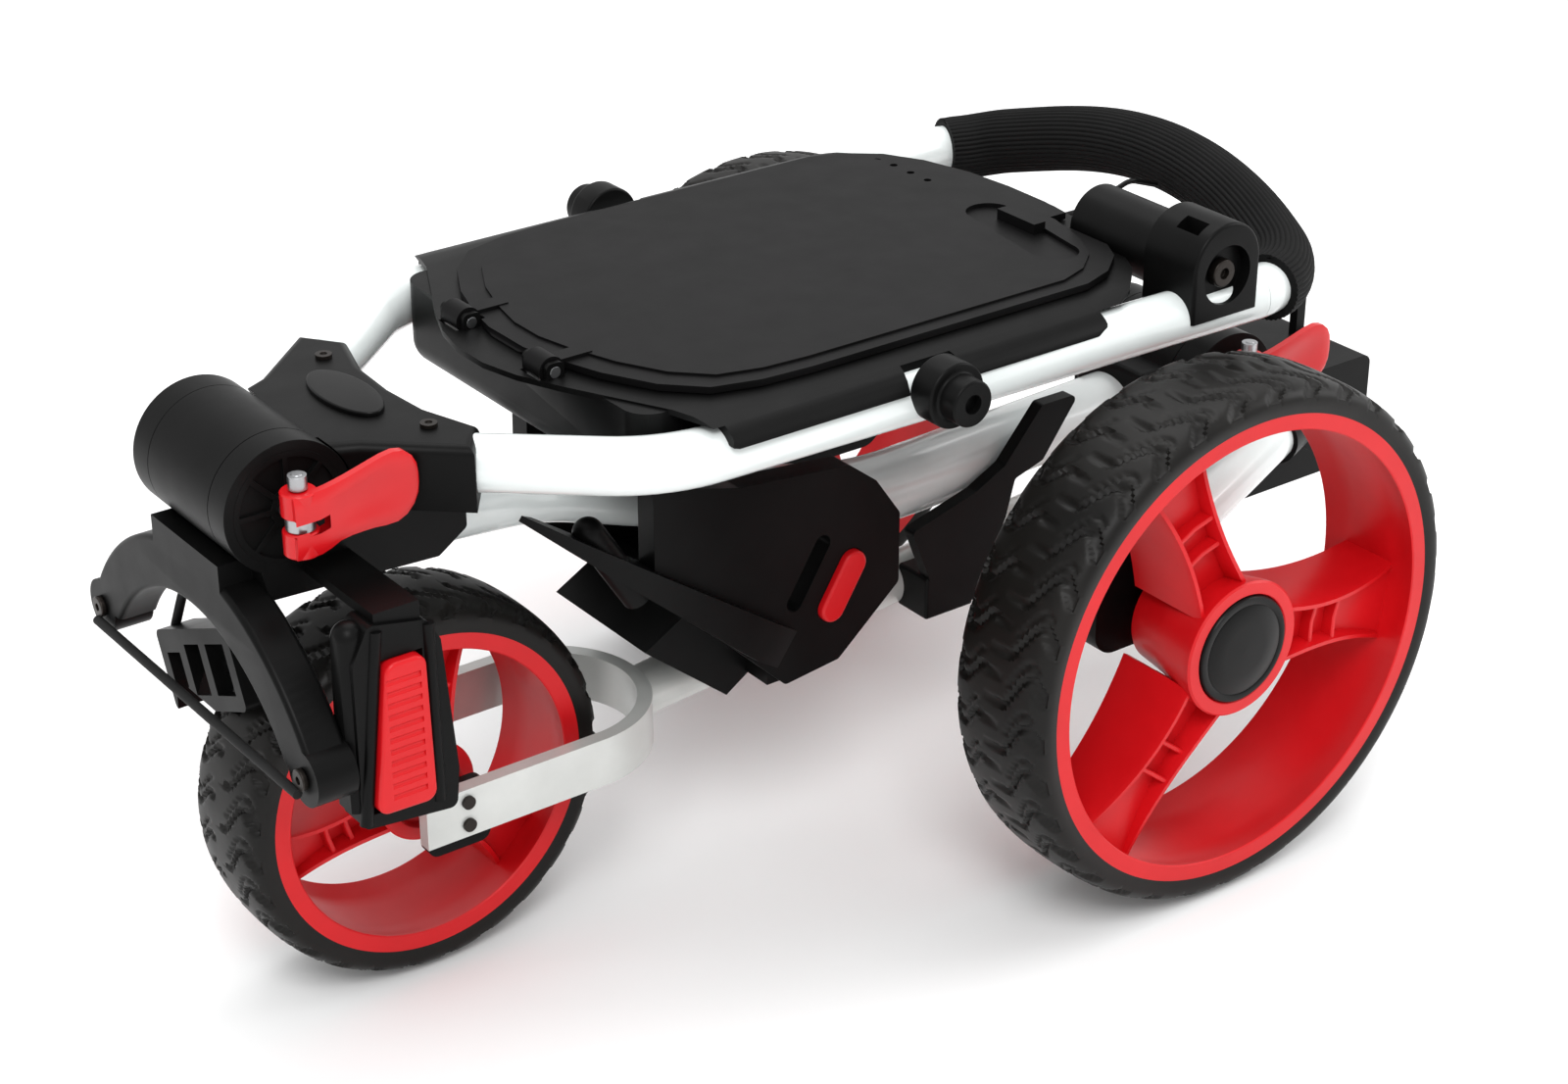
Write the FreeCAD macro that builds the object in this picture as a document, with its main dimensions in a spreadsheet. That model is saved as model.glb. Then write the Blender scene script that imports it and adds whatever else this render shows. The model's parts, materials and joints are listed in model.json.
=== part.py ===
"""Folded three-wheel golf push trolley, millimetres, +Z up, +X towards the handle.

Lengths along X are first taken from the rear axle, because the wheels set the
proportions.  Every piece is then moved by rear_axle_x, which puts the origin on
the floor under the middle of the folded trolley.  The left side is +Y.
"""
import FreeCAD, Part
import math
import os
import Sketcher

V = FreeCAD.Vector
doc = FreeCAD.newDocument("trolley")

# ---------------------------------------------------------------- driving sizes
SIZES = {
    "rear_axle_x": 109.5,
    "rear_wheel_d": 292.0,
    "rear_wheel_width": 67.0,
    "rear_wheel_y": 189.5,
    "front_axle_x": -375.3,
    "front_wheel_d": 206.8,
    "front_wheel_width": 63.0,
    "tyre_thickness": 15.5,
    "tyre_crown": 6.0,
    "rim_wall": 5.0,
    "axle_d": 12.0,
    "fit_gap": 0.05,
    "side_tube_d": 28.0,
    "side_tube_y": 136.0,
    "side_tube_front_y": 126.8,
    "side_tube_z": 299.0,
    "grip_d": 37.5,
    "spine_tall": 38.0,
    "spine_wide": 44.0,
    "front_tube_d": 28.0,
    "leg_tube_d": 28.0,
    "tube_wall": 2.0,
    "barrel_x": -449.0,
    "barrel_z": 291.5,
    "barrel_d": 66.0,
    "barrel_half_length": 46.0,
    "drum_half_length": 30.0,
    "hub_pivot_x": 150.0,
    "hub_pivot_z": 192.0,
    "leg_pivot_x": 197.0,
    "leg_pivot_z": 172.0,
    "leg_pivot_y": 65.0,
    "pin_d": 10.0,
    "fork_bar_tall": 27.0,
    "fork_bar_thick": 8.0,
    "fork_half_width": 55.0,
    "fork_z": 102.5,
    "lid_hinge_x": -305.0,
    "lid_hinge_z": 322.0,
    "cord_d": 5.0,
    "screw_d": 5.0,
}
sheet = doc.addObject("Spreadsheet::Sheet", "sizes")
for row, (alias, value) in enumerate(SIZES.items(), start=1):
    sheet.set("A%d" % row, alias)
    sheet.set("B%d" % row, str(value))
    sheet.setAlias("B%d" % row, alias)
doc.recompute()

nodes = []


def size(alias):
    """The number that the sheet holds under this name."""
    return float(getattr(sheet, alias))


AXLE_X = size("rear_axle_x")
X_AXIS = V(1, 0, 0)
Y_AXIS = V(0, 1, 0)
Z_AXIS = V(0, 0, 1)


# ------------------------------------------------------------- shape functions
def rod(centre, radius, length, axis=Y_AXIS):
    """A cylinder whose middle is at centre."""
    start = centre - axis * (length / 2)
    return Part.makeCylinder(radius, length, start, axis)


def block(low, high, rounding=0.0):
    """A box between two corners, with all its edges rounded."""
    low, high = V(*low), V(*high)
    shape = Part.makeBox(high.x - low.x, high.y - low.y, high.z - low.z, low)
    return shape.makeFillet(rounding, shape.Edges) if rounding else shape


def rounded_route(points, radii):
    """A wire of straight runs joined by tangent arcs at the inner points."""
    edges = []
    last = points[0]
    for before, corner, after, radius in zip(points, points[1:], points[2:], radii):
        back = (before - corner).normalize()
        on = (after - corner).normalize()
        half_turn = (math.pi - back.getAngle(on)) / 2
        reach = radius * math.tan(half_turn)
        middle = (back + on).normalize()
        sag = radius / math.cos(half_turn) - radius
        start = corner + back * reach
        end = corner + on * reach
        if (start - last).Length > 1e-6:
            edges.append(Part.LineSegment(last, start).toShape())
        edges.append(Part.Arc(start, corner + middle * sag, end).toShape())
        last = end
    if (points[-1] - last).Length > 1e-6:
        edges.append(Part.LineSegment(last, points[-1]).toShape())
    return Part.Wire(edges)


def swept(route, outer, inner=None):
    """A round bar, or a tube where inner is given, along a wire."""
    start = route.Edges[0].valueAt(route.Edges[0].FirstParameter)
    along = route.Edges[0].tangentAt(route.Edges[0].FirstParameter)

    def skin(radius):
        ring = Part.Wire(Part.Circle(start, along, radius).toShape())
        return route.makePipeShell([ring], True, False)

    solid = skin(outer)
    return solid.cut(skin(inner)) if inner else solid


def prism(points, rise):
    """A flat outline, given as points, pushed along the vector rise."""
    face = Part.Face(Part.makePolygon(points + [points[0]]))
    return face.extrude(rise)


def softened(shape, radius, keep=lambda edge: True):
    """The shape with its chosen edges rounded."""
    return shape.makeFillet(radius, [edge for edge in shape.Edges if keep(edge)])


def along(axis):
    """Picks the straight edges that run along one axis."""
    def test(edge):
        if edge.Curve.TypeId != "Part::GeomLine":
            return False
        return abs(edge.tangentAt(edge.FirstParameter).dot(axis)) > 0.999
    return test


def add(label, shape):
    """Puts one finished piece in the document, moved to the trolley's origin."""
    piece = doc.addObject("Part::Feature", label)
    piece.Label = label
    piece.Shape = shape
    to_origin = FreeCAD.Placement(V(AXLE_X, 0, 0), FreeCAD.Rotation())
    piece.Placement = to_origin.multiply(shape.Placement)
    nodes.append(piece)
    return piece


def turned(label, profile, centre):
    """A PartDesign body turned about Y.  Each profile corner is a pair of
    (cell, factor, offset): radius first, then the place along the axis."""
    body = doc.addObject("PartDesign::Body", label)
    body.Label = label
    plane = [o for o in body.Origin.OriginFeatures if o.Role == "XY_Plane"][0]
    sketch = body.newObject("Sketcher::SketchObject", label + "_profile")
    sketch.AttachmentSupport = [(plane, "")]
    sketch.MapMode = "FlatFace"

    def value(term):
        cell, factor, offset = term
        return (size(cell) * factor if cell else 0.0) + offset

    def formula(term):
        cell, factor, offset = term
        return "sizes.%s * %g + %g" % (cell, factor, offset)

    corners = [V(value(r), value(y), 0) for r, y in profile]
    count = len(corners)
    for i, corner in enumerate(corners):
        sketch.addGeometry(Part.LineSegment(corner, corners[(i + 1) % count]), False)
    for i in range(count):
        sketch.addConstraint(Sketcher.Constraint("Coincident", i, 2, (i + 1) % count, 1))
    for i, (radius, place) in enumerate(profile):
        for kind, term in (("DistanceX", radius), ("DistanceY", place)):
            index = sketch.addConstraint(
                Sketcher.Constraint(kind, -1, 1, i, 1, value(term)))
            if term[0]:
                sketch.setExpression("Constraints[%d]" % index, formula(term))
    turn = body.newObject("PartDesign::Revolution", label + "_turned")
    turn.Profile = sketch
    turn.ReferenceAxis = (sketch, ["V_Axis"])
    turn.Angle = 360.0
    body.Tip = turn
    body.Placement = FreeCAD.Placement(centre + V(AXLE_X, 0, 0), FreeCAD.Rotation())
    nodes.append(body)
    return body


def bound_rod(label, cell, length_formula, start):
    """A plain round bar along Y whose diameter and length follow the sheet."""
    bar = doc.addObject("Part::Cylinder", label)
    bar.Label = label
    bar.setExpression("Radius", "sizes.%s / 2" % cell)
    bar.setExpression("Height", length_formula)
    turn = FreeCAD.Rotation(X_AXIS, -90)
    bar.Placement = FreeCAD.Placement(start + V(AXLE_X, 0, 0), turn)
    nodes.append(bar)
    return bar


# ---------------------------------------------------------------------- wheels
GAP = size("fit_gap")
AXLE_R = size("axle_d") / 2


def tyre_profile(diameter, width):
    """A soft tyre: a thick band with a crowned tread and rounded shoulders."""
    half = 0.5
    return [
        ((diameter, half, -15.4), (width, -half, 1.0)),
        ((diameter, half, -10.0), (width, -half, 0.0)),
        ((diameter, half, -6.0), (width, -half, 1.5)),
        ((diameter, half, -2.2), (width, -half, 10.0)),
        ((diameter, half, 0.0), (width, -half, 24.0)),
        ((diameter, half, 0.0), (width, half, -24.0)),
        ((diameter, half, -2.2), (width, half, -10.0)),
        ((diameter, half, -6.0), (width, half, -1.5)),
        ((diameter, half, -10.0), (width, half, 0.0)),
        ((diameter, half, -15.4), (width, half, -1.0)),
    ]


SPOKE_COUNT = 3
SPOKE_RIB = 5.0
HUB_SHARE = 0.13
CAP_SHARE = 0.103
CAP_THICK = 7.0
CAP_SET_IN = 6.0
AXLE_ROOM = 54.5


def rim_shape(diameter, width, side, first_angle):
    """A moulded rim: a deep ring, a hub and three hollow spokes, open behind."""
    seat = diameter / 2 - size("tyre_thickness")
    bore = AXLE_R + GAP
    hub_r = diameter * HUB_SHARE
    well = seat - size("rim_wall")
    ring = rod(V(0, 0, 0), seat, width - 2.0).cut(rod(V(0, 0, 0), well, width))
    hub = rod(V(0, side * 2.0, 0), hub_r, width - 12.0)
    rim = ring.fuse(hub)
    for i in range(SPOKE_COUNT):
        near = 17.0
        far = well * 0.30
        depth = width * 0.46
        outline = [
            V(hub_r * 0.8, 0, -near), V(well * 0.62, 0, -near * 0.85),
            V(well + 2.0, 0, -far), V(well + 2.0, 0, far),
            V(well * 0.62, 0, near * 0.85), V(hub_r * 0.8, 0, near),
        ]
        spoke = prism(outline, V(0, depth, 0))
        spoke.translate(V(0, -depth / 2 + side * 4.0, 0))
        pocket = prism(
            [V(hub_r + 4.0, 0, -near + SPOKE_RIB + 1.0),
             V(well * 0.62, 0, -near * 0.85 + SPOKE_RIB),
             V(well - 3.0, 0, -far + SPOKE_RIB + 2.0),
             V(well - 3.0, 0, far - SPOKE_RIB - 2.0),
             V(well * 0.62, 0, near * 0.85 - SPOKE_RIB),
             V(hub_r + 4.0, 0, near - SPOKE_RIB - 1.0)],
            V(0, depth, 0))
        pocket.translate(V(0, -depth / 2 + side * (4.0 + SPOKE_RIB), 0))
        spoke = spoke.cut(pocket)
        spoke.rotate(V(0, 0, 0), Y_AXIS, first_angle + i * 360.0 / SPOKE_COUNT)
        rim = rim.fuse(spoke)
    rim = rim.cut(rod(V(0, 0, 0), bore, width + 20.0))
    rim = rim.cut(rod(V(0, side * (width / 2 - CAP_SET_IN), 0), diameter * CAP_SHARE, CAP_THICK))
    return rim.common(rod(V(0, 0, 0), seat, width)).removeSplitter()


def wheel(name, diameter, width, centre, side, first_angle):
    """Tyre and rim.  side is -1 or +1 for the outer face's direction."""
    turned(name + "_tyre", tyre_profile(diameter, width), centre)
    rim = rim_shape(size(diameter), size(width), side, first_angle)
    rim.translate(centre)
    add(name + "_rim", rim)


def wheel_cap(name, side):
    """Round cap that covers the end of a rear axle."""
    outer = REAR_Y + size("rear_wheel_width") / 2 - CAP_SET_IN
    cap = softened(rod(V(0, side * outer, REAR_R), 2 * REAR_R * CAP_SHARE, CAP_THICK), 1.5)
    cap = cap.cut(rod(V(0, side * REAR_Y, REAR_R), AXLE_R + 0.5, AXLE_ROOM))
    add(name + "_cap", cap)


REAR_R = size("rear_wheel_d") / 2
REAR_Y = size("rear_wheel_y")
FRONT_R = size("front_wheel_d") / 2
FRONT = V(size("front_axle_x"), 0, FRONT_R)
wheel("right_wheel", "rear_wheel_d", "rear_wheel_width", V(0, -REAR_Y, REAR_R), -1, 8.0)
wheel("left_wheel", "rear_wheel_d", "rear_wheel_width", V(0, REAR_Y, REAR_R), 1, 68.0)
wheel("front_wheel", "front_wheel_d", "front_wheel_width", FRONT, -1, 45.0)
wheel_cap("right_wheel", -1)
wheel_cap("left_wheel", 1)

# ------------------------------------------------------------------ front fork
FORK_Y = size("fork_half_width")
BAR = size("fork_bar_thick")
BAR_TALL = size("fork_bar_tall")
FORK_Z = size("fork_z")
FORK_END = -392.5
FORK_BEND = -287.0
FORK_SCREWS = [(-369.0, 109.0), (-369.0, 96.0)]
SCREW_R = size("screw_d") / 2
FRONT_TUBE_R = size("front_tube_d") / 2
FRONT_TUBE_START = V(FORK_BEND + FORK_Y - 1.0, 0, FORK_Z - 3.0)
FRONT_TUBE_END = V(172.0, 0, 134.0)


def fork_bow():
    """Flat bar bent into a U round the front wheel, open towards -X."""
    outer = rod(V(FORK_BEND, 0, FORK_Z), FORK_Y, BAR_TALL, Z_AXIS)
    inner = rod(V(FORK_BEND, 0, FORK_Z), FORK_Y - BAR, BAR_TALL + 2, Z_AXIS)
    low, high = FORK_Z - BAR_TALL / 2, FORK_Z + BAR_TALL / 2
    arms = block((FORK_END, -FORK_Y, low), (FORK_BEND, FORK_Y, high))
    gap = block((FORK_END - 5, BAR - FORK_Y, low - 1), (FORK_BEND, FORK_Y - BAR, high + 1))
    bow = outer.fuse(arms).cut(inner).cut(gap).removeSplitter()
    for x, z in FORK_SCREWS:
        bow = bow.cut(rod(V(x, 0, z), SCREW_R, 4 * FORK_Y))
    return bow


def dropout(side):
    """Black plate inside a fork arm that carries one end of the front axle."""
    y = side * (FORK_Y - BAR - 4.0)
    plate = block((-388.0, y - 4.0, 78.0), (-352.0, y + 4.0, 114.0))
    plate = softened(plate, 6.0, along(Y_AXIS))
    plate = plate.cut(rod(V(FRONT.x, y, FRONT.z), AXLE_R, 20.0))
    for x, z in FORK_SCREWS:
        plate = plate.cut(rod(V(x, y, z), SCREW_R, 20.0))
    return plate


def fork_screws():
    """Two cap screws through each fork arm."""
    screws = []
    for side in (-1, 1):
        for x, z in FORK_SCREWS:
            shank = rod(V(x, side * (FORK_Y - 7.0), z), SCREW_R, 14.0)
            head = rod(V(x, side * (FORK_Y + 1.0), z), 3.6, 2.0)
            screws.append(shank.fuse(head).removeSplitter())
    return Part.makeCompound(screws)


def straight_bar(start, end, radius):
    """A round bar between two points."""
    return Part.makeCylinder(radius, (end - start).Length, start, (end - start).normalize())


def front_tube():
    """Tube from the fork's bend to the rear hub, plugged into both."""
    tube = straight_bar(FRONT_TUBE_START, FRONT_TUBE_END, FRONT_TUBE_R)
    bore = straight_bar(FRONT_TUBE_START, FRONT_TUBE_END, FRONT_TUBE_R - size("tube_wall"))
    return tube.cut(bore).cut(rod(V(FORK_BEND, 0, FORK_Z), FORK_Y, 60.0, Z_AXIS))


add("fork_bow", fork_bow())
add("fork_dropouts", Part.makeCompound([dropout(-1), dropout(1)]))
bound_rod("front_axle", "axle_d", "sizes.fork_half_width * 2 - 2 * sizes.fork_bar_thick",
          FRONT + V(0, -(FORK_Y - BAR), 0))
add("front_tube", front_tube())
add("fork_screws", fork_screws())

# -------------------------------------------------------------------- rear hub
HUB = V(size("hub_pivot_x"), 0, size("hub_pivot_z"))
LEG_X = size("leg_pivot_x")
LEG_Z = size("leg_pivot_z")
LEG_Y = size("leg_pivot_y")
PIN_R = size("pin_d") / 2
DRUM = size("drum_half_length")
DRUM_GAP = 0.4
HUB_HALF = 48.0
HUB_EAR_R = 34.0


def rear_hub():
    """Black casting at the tail: two ears round the spine's drum, a body that
    takes the front tube and both legs' pin, and a thin stop on its top."""
    body = block((118.0, -HUB_HALF, 116.0), (268.0, HUB_HALF, 184.0))
    body = softened(body, 6.0, along(Y_AXIS))
    ears = rod(HUB, HUB_EAR_R, 2 * HUB_HALF)
    slot = rod(HUB, HUB_EAR_R + 2.0, 2 * (DRUM + DRUM_GAP))
    swing = block((80.0, -DRUM - DRUM_GAP, 152.0), (HUB.x, DRUM + DRUM_GAP, 240.0))
    stop = block((250.0, -3.0, 180.0), (257.0, 3.0, 216.0))
    hub = body.fuse(ears).fuse(stop).cut(slot).cut(swing)
    hub = hub.cut(rod(HUB, PIN_R, 200.0))
    hub = hub.cut(rod(V(LEG_X, 0, LEG_Z), PIN_R, 200.0))
    hub = hub.cut(straight_bar(FRONT_TUBE_START, FRONT_TUBE_END, FRONT_TUBE_R))
    return hub.removeSplitter()


add("rear_hub", rear_hub())
bound_rod("hub_pin", "pin_d", "104", V(HUB.x, -52.0, HUB.z))
bound_rod("leg_pin", "pin_d", "2 * sizes.leg_pivot_y + 30", V(LEG_X, -LEG_Y - 15.0, LEG_Z))

# ------------------------------------------------------------------- rear legs
LEG_R = size("leg_tube_d") / 2
AXLE_BLOCK_Y = 140.0


def leg_ends(side):
    """Where one leg tube starts at its knuckle and ends in its carrier."""
    return V(LEG_X - 14.0, side * (LEG_Y + 2.0), LEG_Z), V(6.0, side * AXLE_BLOCK_Y, 166.0)


def leg_tube(side):
    """Tube from the knuckle out to the axle carrier, notched for the axle."""
    start, end = leg_ends(side)
    tube = straight_bar(start, end, LEG_R).cut(straight_bar(start, end, LEG_R - size("tube_wall")))
    return tube.cut(rod(V(0, side * AXLE_BLOCK_Y, REAR_R), AXLE_R, 60.0))


def leg_knuckle(side):
    """Round black knuckle that turns on the hub's pin and grips the leg."""
    start, end = leg_ends(side)
    boss = rod(V(LEG_X, side * LEG_Y, LEG_Z), 20.0, 30.0)
    run = (end - start).normalize()
    neck = Part.makeCylinder(16.0, 44.0, V(LEG_X, side * (LEG_Y - 3.0), LEG_Z), run)
    beside = block((90.0, -HUB_HALF - 1.0, 100.0), (280.0, HUB_HALF + 1.0, 240.0))
    knuckle = boss.fuse(neck).cut(beside)
    knuckle = knuckle.cut(rod(V(LEG_X, 0, LEG_Z), PIN_R + GAP, 400.0))
    return knuckle.cut(straight_bar(start, end, LEG_R)).removeSplitter()


def axle_block(side):
    """Black carrier between the leg and the wheel's axle."""
    low = (-44.0, side * AXLE_BLOCK_Y - 14.0, 126.0)
    high = (34.0, side * AXLE_BLOCK_Y + 14.0, 184.0)
    carrier = softened(block(low, high), 14.0, along(Y_AXIS))
    carrier = carrier.cut(rod(V(0, side * AXLE_BLOCK_Y, REAR_R), AXLE_R, 60.0))
    return carrier.cut(straight_bar(*leg_ends(side), LEG_R)).removeSplitter()


for side, name in ((-1, "right"), (1, "left")):
    add(name + "_leg_tube", leg_tube(side))
    add(name + "_leg_knuckle", leg_knuckle(side))
    add(name + "_axle_block", axle_block(side))
    bound_rod(name + "_axle", "axle_d", "88", V(0, min(side * 128.0, side * 216.0), REAR_R))

# ----------------------------------------------------------------------- spine
BARREL = V(size("barrel_x"), 0, size("barrel_z"))
BARREL_R = size("barrel_d") / 2
BARREL_HALF = size("barrel_half_length")
SPINE_POINTS = [V(-405, 0, 250), V(-290, 0, 241), V(-95, 0, 172), V(136, 0, 180)]
SPINE_RADII = [170.0, 230.0]


def spine_bar(grow=0.0):
    """The spine's oval section swept along its bent route, solid."""
    route = rounded_route(SPINE_POINTS, SPINE_RADII)
    oval = Part.Ellipse(V(0, 0, 0), size("spine_wide") / 2 - grow, size("spine_tall") / 2 - grow)
    ring = Part.Wire(oval.toShape())
    run = (SPINE_POINTS[1] - SPINE_POINTS[0]).normalize()
    turn = FreeCAD.Rotation(Y_AXIS, run.cross(Y_AXIS), run, "XYZ")
    ring.Placement = FreeCAD.Placement(SPINE_POINTS[0], turn)
    return route.makePipeShell([ring], True, False)


def spine_knuckle():
    """Drum at the spine's tail that turns between the hub's ears."""
    drum = rod(HUB, HUB_EAR_R, 2 * DRUM)
    socket = block((100.0, 2.0 - DRUM, 157.0), (HUB.x, DRUM - 2.0, 206.0), 4.0)
    knuckle = drum.fuse(socket).cut(spine_bar())
    return knuckle.cut(rod(HUB, PIN_R + GAP, 200.0)).removeSplitter()


def sleeve():
    """Plan block of the spine's head, with a chamfered lower corner."""
    corners = [V(-466, 0, 266), V(-462, 0, 247), V(-372, 0, 243), V(-356, 0, 254), V(-356, 0, 277),
               V(-466, 0, 277)]
    shape = prism([V(p.x, -BARREL_HALF, p.z) for p in corners], V(0, 2 * BARREL_HALF, 0))
    return softened(shape, 3.0, along(Y_AXIS))


def barrel_block():
    """Sleeve on the spine's head whose two ears carry the handle's drum."""
    ears = rod(BARREL, BARREL_R, 2 * BARREL_HALF)
    slot = rod(BARREL, BARREL_R + 1.0, 2 * (DRUM + DRUM_GAP))
    shape = sleeve().fuse(ears).cut(slot)
    for side in (-1, 1):
        shape = shape.cut(rod(BARREL + V(0, side * BARREL_HALF, 0), CAP_R, 2 * CAP_DEPTH))
    shape = shape.cut(spine_bar()).cut(rod(BARREL, PIN_R, 200.0))
    return max(shape.removeSplitter().Solids, key=lambda piece: piece.Volume)


def barrel_cap(side):
    """Ribbed disc recessed in one end of the barrel."""
    centre = BARREL + V(0, side * (BARREL_HALF - CAP_DEPTH / 2), 0)
    disc = rod(centre, CAP_R, CAP_DEPTH)
    face = centre + V(0, side * CAP_DEPTH / 2, 0)
    disc = disc.cut(rod(face, CAP_R - 3.0, 4.0).cut(rod(face, 9.0, 6.0)))
    for turn in range(0, 180, 45):
        rib = block((face.x - CAP_R + 1, min(face.y, face.y - side * 3), face.z - 1.2),
                    (face.x + CAP_R - 1, max(face.y, face.y - side * 3), face.z + 1.2))
        rib.rotate(face, Y_AXIS, turn)
        disc = disc.fuse(rib)
    return disc.cut(rod(BARREL, PIN_R, 200.0)).removeSplitter()


CAP_R = 28.0
CAP_DEPTH = 6.0
CORD_R = size("cord_d") / 2
add("spine_tube", spine_bar().cut(spine_bar(size("tube_wall"))))
add("spine_knuckle", spine_knuckle())
add("barrel_block", barrel_block())
add("barrel_caps", Part.makeCompound([barrel_cap(-1), barrel_cap(1)]))
bound_rod("barrel_pin", "pin_d", "2 * sizes.barrel_half_length + 4",
          BARREL + V(0, -BARREL_HALF - 2.0, 0))

# ------------------------------------------------------------------ bag cradle
CRADLE_FRONT = -481.5
CRADLE_BACK = -460.5
ARM_TIP = V((CRADLE_FRONT + CRADLE_BACK) / 2, 104.0, 187.0)
ARCH_CENTRE = V(ARM_TIP.x, 0, 131.0)
ARCH_INNER_R = 101.0
ARCH_OUTER_R = 128.0


def upper_cradle():
    """Horseshoe that the bag's neck lies in, hung under the barrel."""
    deep = CRADLE_BACK - CRADLE_FRONT
    outer = rod(ARCH_CENTRE, ARCH_OUTER_R, deep, X_AXIS)
    inner = rod(ARCH_CENTRE, ARCH_INNER_R, deep + 2, X_AXIS)
    below = block((-540, -150, -20), (-400, 150, ARM_TIP.z))
    arch = outer.cut(inner).cut(below)
    neck = block((CRADLE_FRONT, -34, 240.0), (CRADLE_BACK + 4.0, 34, 266.0))
    arch = arch.fuse(neck).removeSplitter()
    arch = softened(arch, 3.0, lambda edge: edge.Curve.TypeId == "Part::GeomCircle")
    for side in (-1, 1):
        tip = V(ARM_TIP.x, side * ARM_TIP.y, ARM_TIP.z)
        arch = arch.fuse(rod(tip, 14.0, deep, X_AXIS)).cut(rod(tip, 3.0, 60.0, X_AXIS))
    swing = rod(BARREL, BARREL_R + 1.0, 2 * (DRUM + DRUM_GAP))
    cradle = arch.cut(sleeve()).cut(rod(BARREL, BARREL_R, 110.0)).cut(swing)
    return max(cradle.removeSplitter().Solids, key=lambda piece: piece.Volume)


def cradle_screws():
    """Pan-head screws in the tips of the cradle's arms."""
    screws = []
    for side in (-1, 1):
        tip = V(CRADLE_FRONT, side * ARM_TIP.y, ARM_TIP.z)
        head = softened(rod(tip - X_AXIS * 1.5, 5.5, 3.0, X_AXIS), 0.8)
        screw = head.fuse(rod(tip + X_AXIS * 8.0, 3.0, 16.0, X_AXIS))
        screws.append(screw.cut(rod(tip - X_AXIS * 3.0, 2.0, 3.0, X_AXIS)).removeSplitter())
    return Part.makeCompound(screws)


add("upper_cradle", upper_cradle())
add("cradle_screws", cradle_screws())

# --------------------------------------------------- strap buckle on the cradle
BUCKLE_FACE = -112.0
BUCKLE_BACK = -94.0


def buckle_face(points, y, deep):
    """A plate with the given outline in XZ whose near face is at y."""
    return prism([V(x, y, z) for x, z in points], V(0, deep, 0))


def upper_buckle():
    """Black frame with a round cushion, two rails and a pocket for the button."""
    outline = [(-457, 154), (-407, 149), (-405, 170), (-411, 240), (-418, 252), (-448, 258), (-457, 240)]
    frame = softened(buckle_face(outline, BUCKLE_FACE, BUCKLE_BACK - BUCKLE_FACE), 4.0, along(Y_AXIS))
    cushion = straight_bar(V(-455, -102, 162), V(-453, -102, 250), 8.0)
    cushion = cushion.fuse(Part.makeSphere(8.0, V(-453, -102, 250)))
    frame = frame.fuse(cushion)
    for low, high in ((V(-455, -111, 156), V(-444, -111, 254)), (V(-416, -111, 156), V(-417, -111, 250))):
        frame = frame.fuse(straight_bar(low, high, 3.2))
    pocket = buckle_face(button_outline(0.5), BUCKLE_FACE - 6, 6 + 12.0)
    web = block((-444.0, -110.0, 245.0), (-420.0, -105.0, 262.0)).fuse(
        block((-444.0, -110.0, 257.0), (-420.0, -44.0, 262.0)))
    return frame.cut(pocket).fuse(web).cut(sleeve()).cut(straps_room()).removeSplitter()


def straps_room():
    """Space that the cradle's arm takes up beside the buckle."""
    return block((CRADLE_FRONT, -140, 100), (CRADLE_BACK, 140, 280))


def button_outline(grow):
    """The button's outline, wider at the foot."""
    return [(-451.5 - grow, 161 - grow), (-419.5 + grow, 160 - grow),
            (-421.5 + grow, 238 + grow), (-442.5 - grow, 238 + grow)]


def upper_button():
    """Red press button with eleven cross grooves."""
    button = buckle_face(button_outline(0.0), BUCKLE_FACE - 5.0, 11.0)
    button = softened(button, 6.0, along(Y_AXIS))
    button = softened(button, 2.0, lambda edge: edge.CenterOfMass.y < BUCKLE_FACE - 4.9)
    for i in range(11):
        groove = rod(V(-434.0, BUCKLE_FACE - 5.6, 169.0 + 6.0 * i), 1.6, 18.0, X_AXIS)
        button = button.cut(groove)
    return button.removeSplitter()


add("upper_buckle", upper_buckle())
add("upper_button", upper_button())

# ------------------------------------------------- elastic cord and far buckle
FAR_BUCKLE = V(-478.0, 30.0, 178.0)


def far_buckle():
    """Frame clip on the far side of the cradle that the cord loops through."""
    body = block((-10, -44, -21), (10, 44, 21))
    body = softened(body, 4.0, along(X_AXIS))
    windows = (((-12, -36, -13), (12, -14, 13)), ((-12, -6, -13), (12, 12, 13)),
               ((-12, 20, -9), (12, 36, 9)))
    for low, high in windows:
        body = body.cut(block(low, high))
    body = body.fuse(block((-3, -44, -3), (9, 44, 3)))
    body.rotate(V(0, 0, 0), X_AXIS, -24.0)
    body.translate(FAR_BUCKLE + V(22, 0, 0))
    body = body.cut(rod(FRONT, FRONT_R + 4.0, 120.0))
    return max(body.removeSplitter().Solids, key=lambda piece: piece.Volume)


def arm_cord():
    """Elastic cord stretched between the screws of the cradle's arms."""
    start = V(CRADLE_FRONT - 3.5, -ARM_TIP.y, ARM_TIP.z - 7.0)
    end = V(CRADLE_FRONT - 3.5, ARM_TIP.y, ARM_TIP.z - 7.0)
    return straight_bar(start, end, CORD_R)


def buckle_cord():
    """Loop of cord from the far buckle up to the cradle's arch."""
    x = FAR_BUCKLE.x + 22.0
    points = [V(x, -6, 236), V(x, 8, 222), V(x, 62, 206), V(x, 78, 176), V(x, 64, 142),
              V(x, 22, 150), V(x, 4, 168)]
    return swept(rounded_route(points, [12.0, 16.0, 14.0, 16.0, 10.0]), CORD_R)


add("far_buckle", far_buckle())
add("arm_cord", arm_cord())
cord = buckle_cord().cut(far_buckle()).cut(upper_cradle())
add("buckle_cord", max(cord.Solids, key=lambda piece: piece.Volume))

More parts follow.
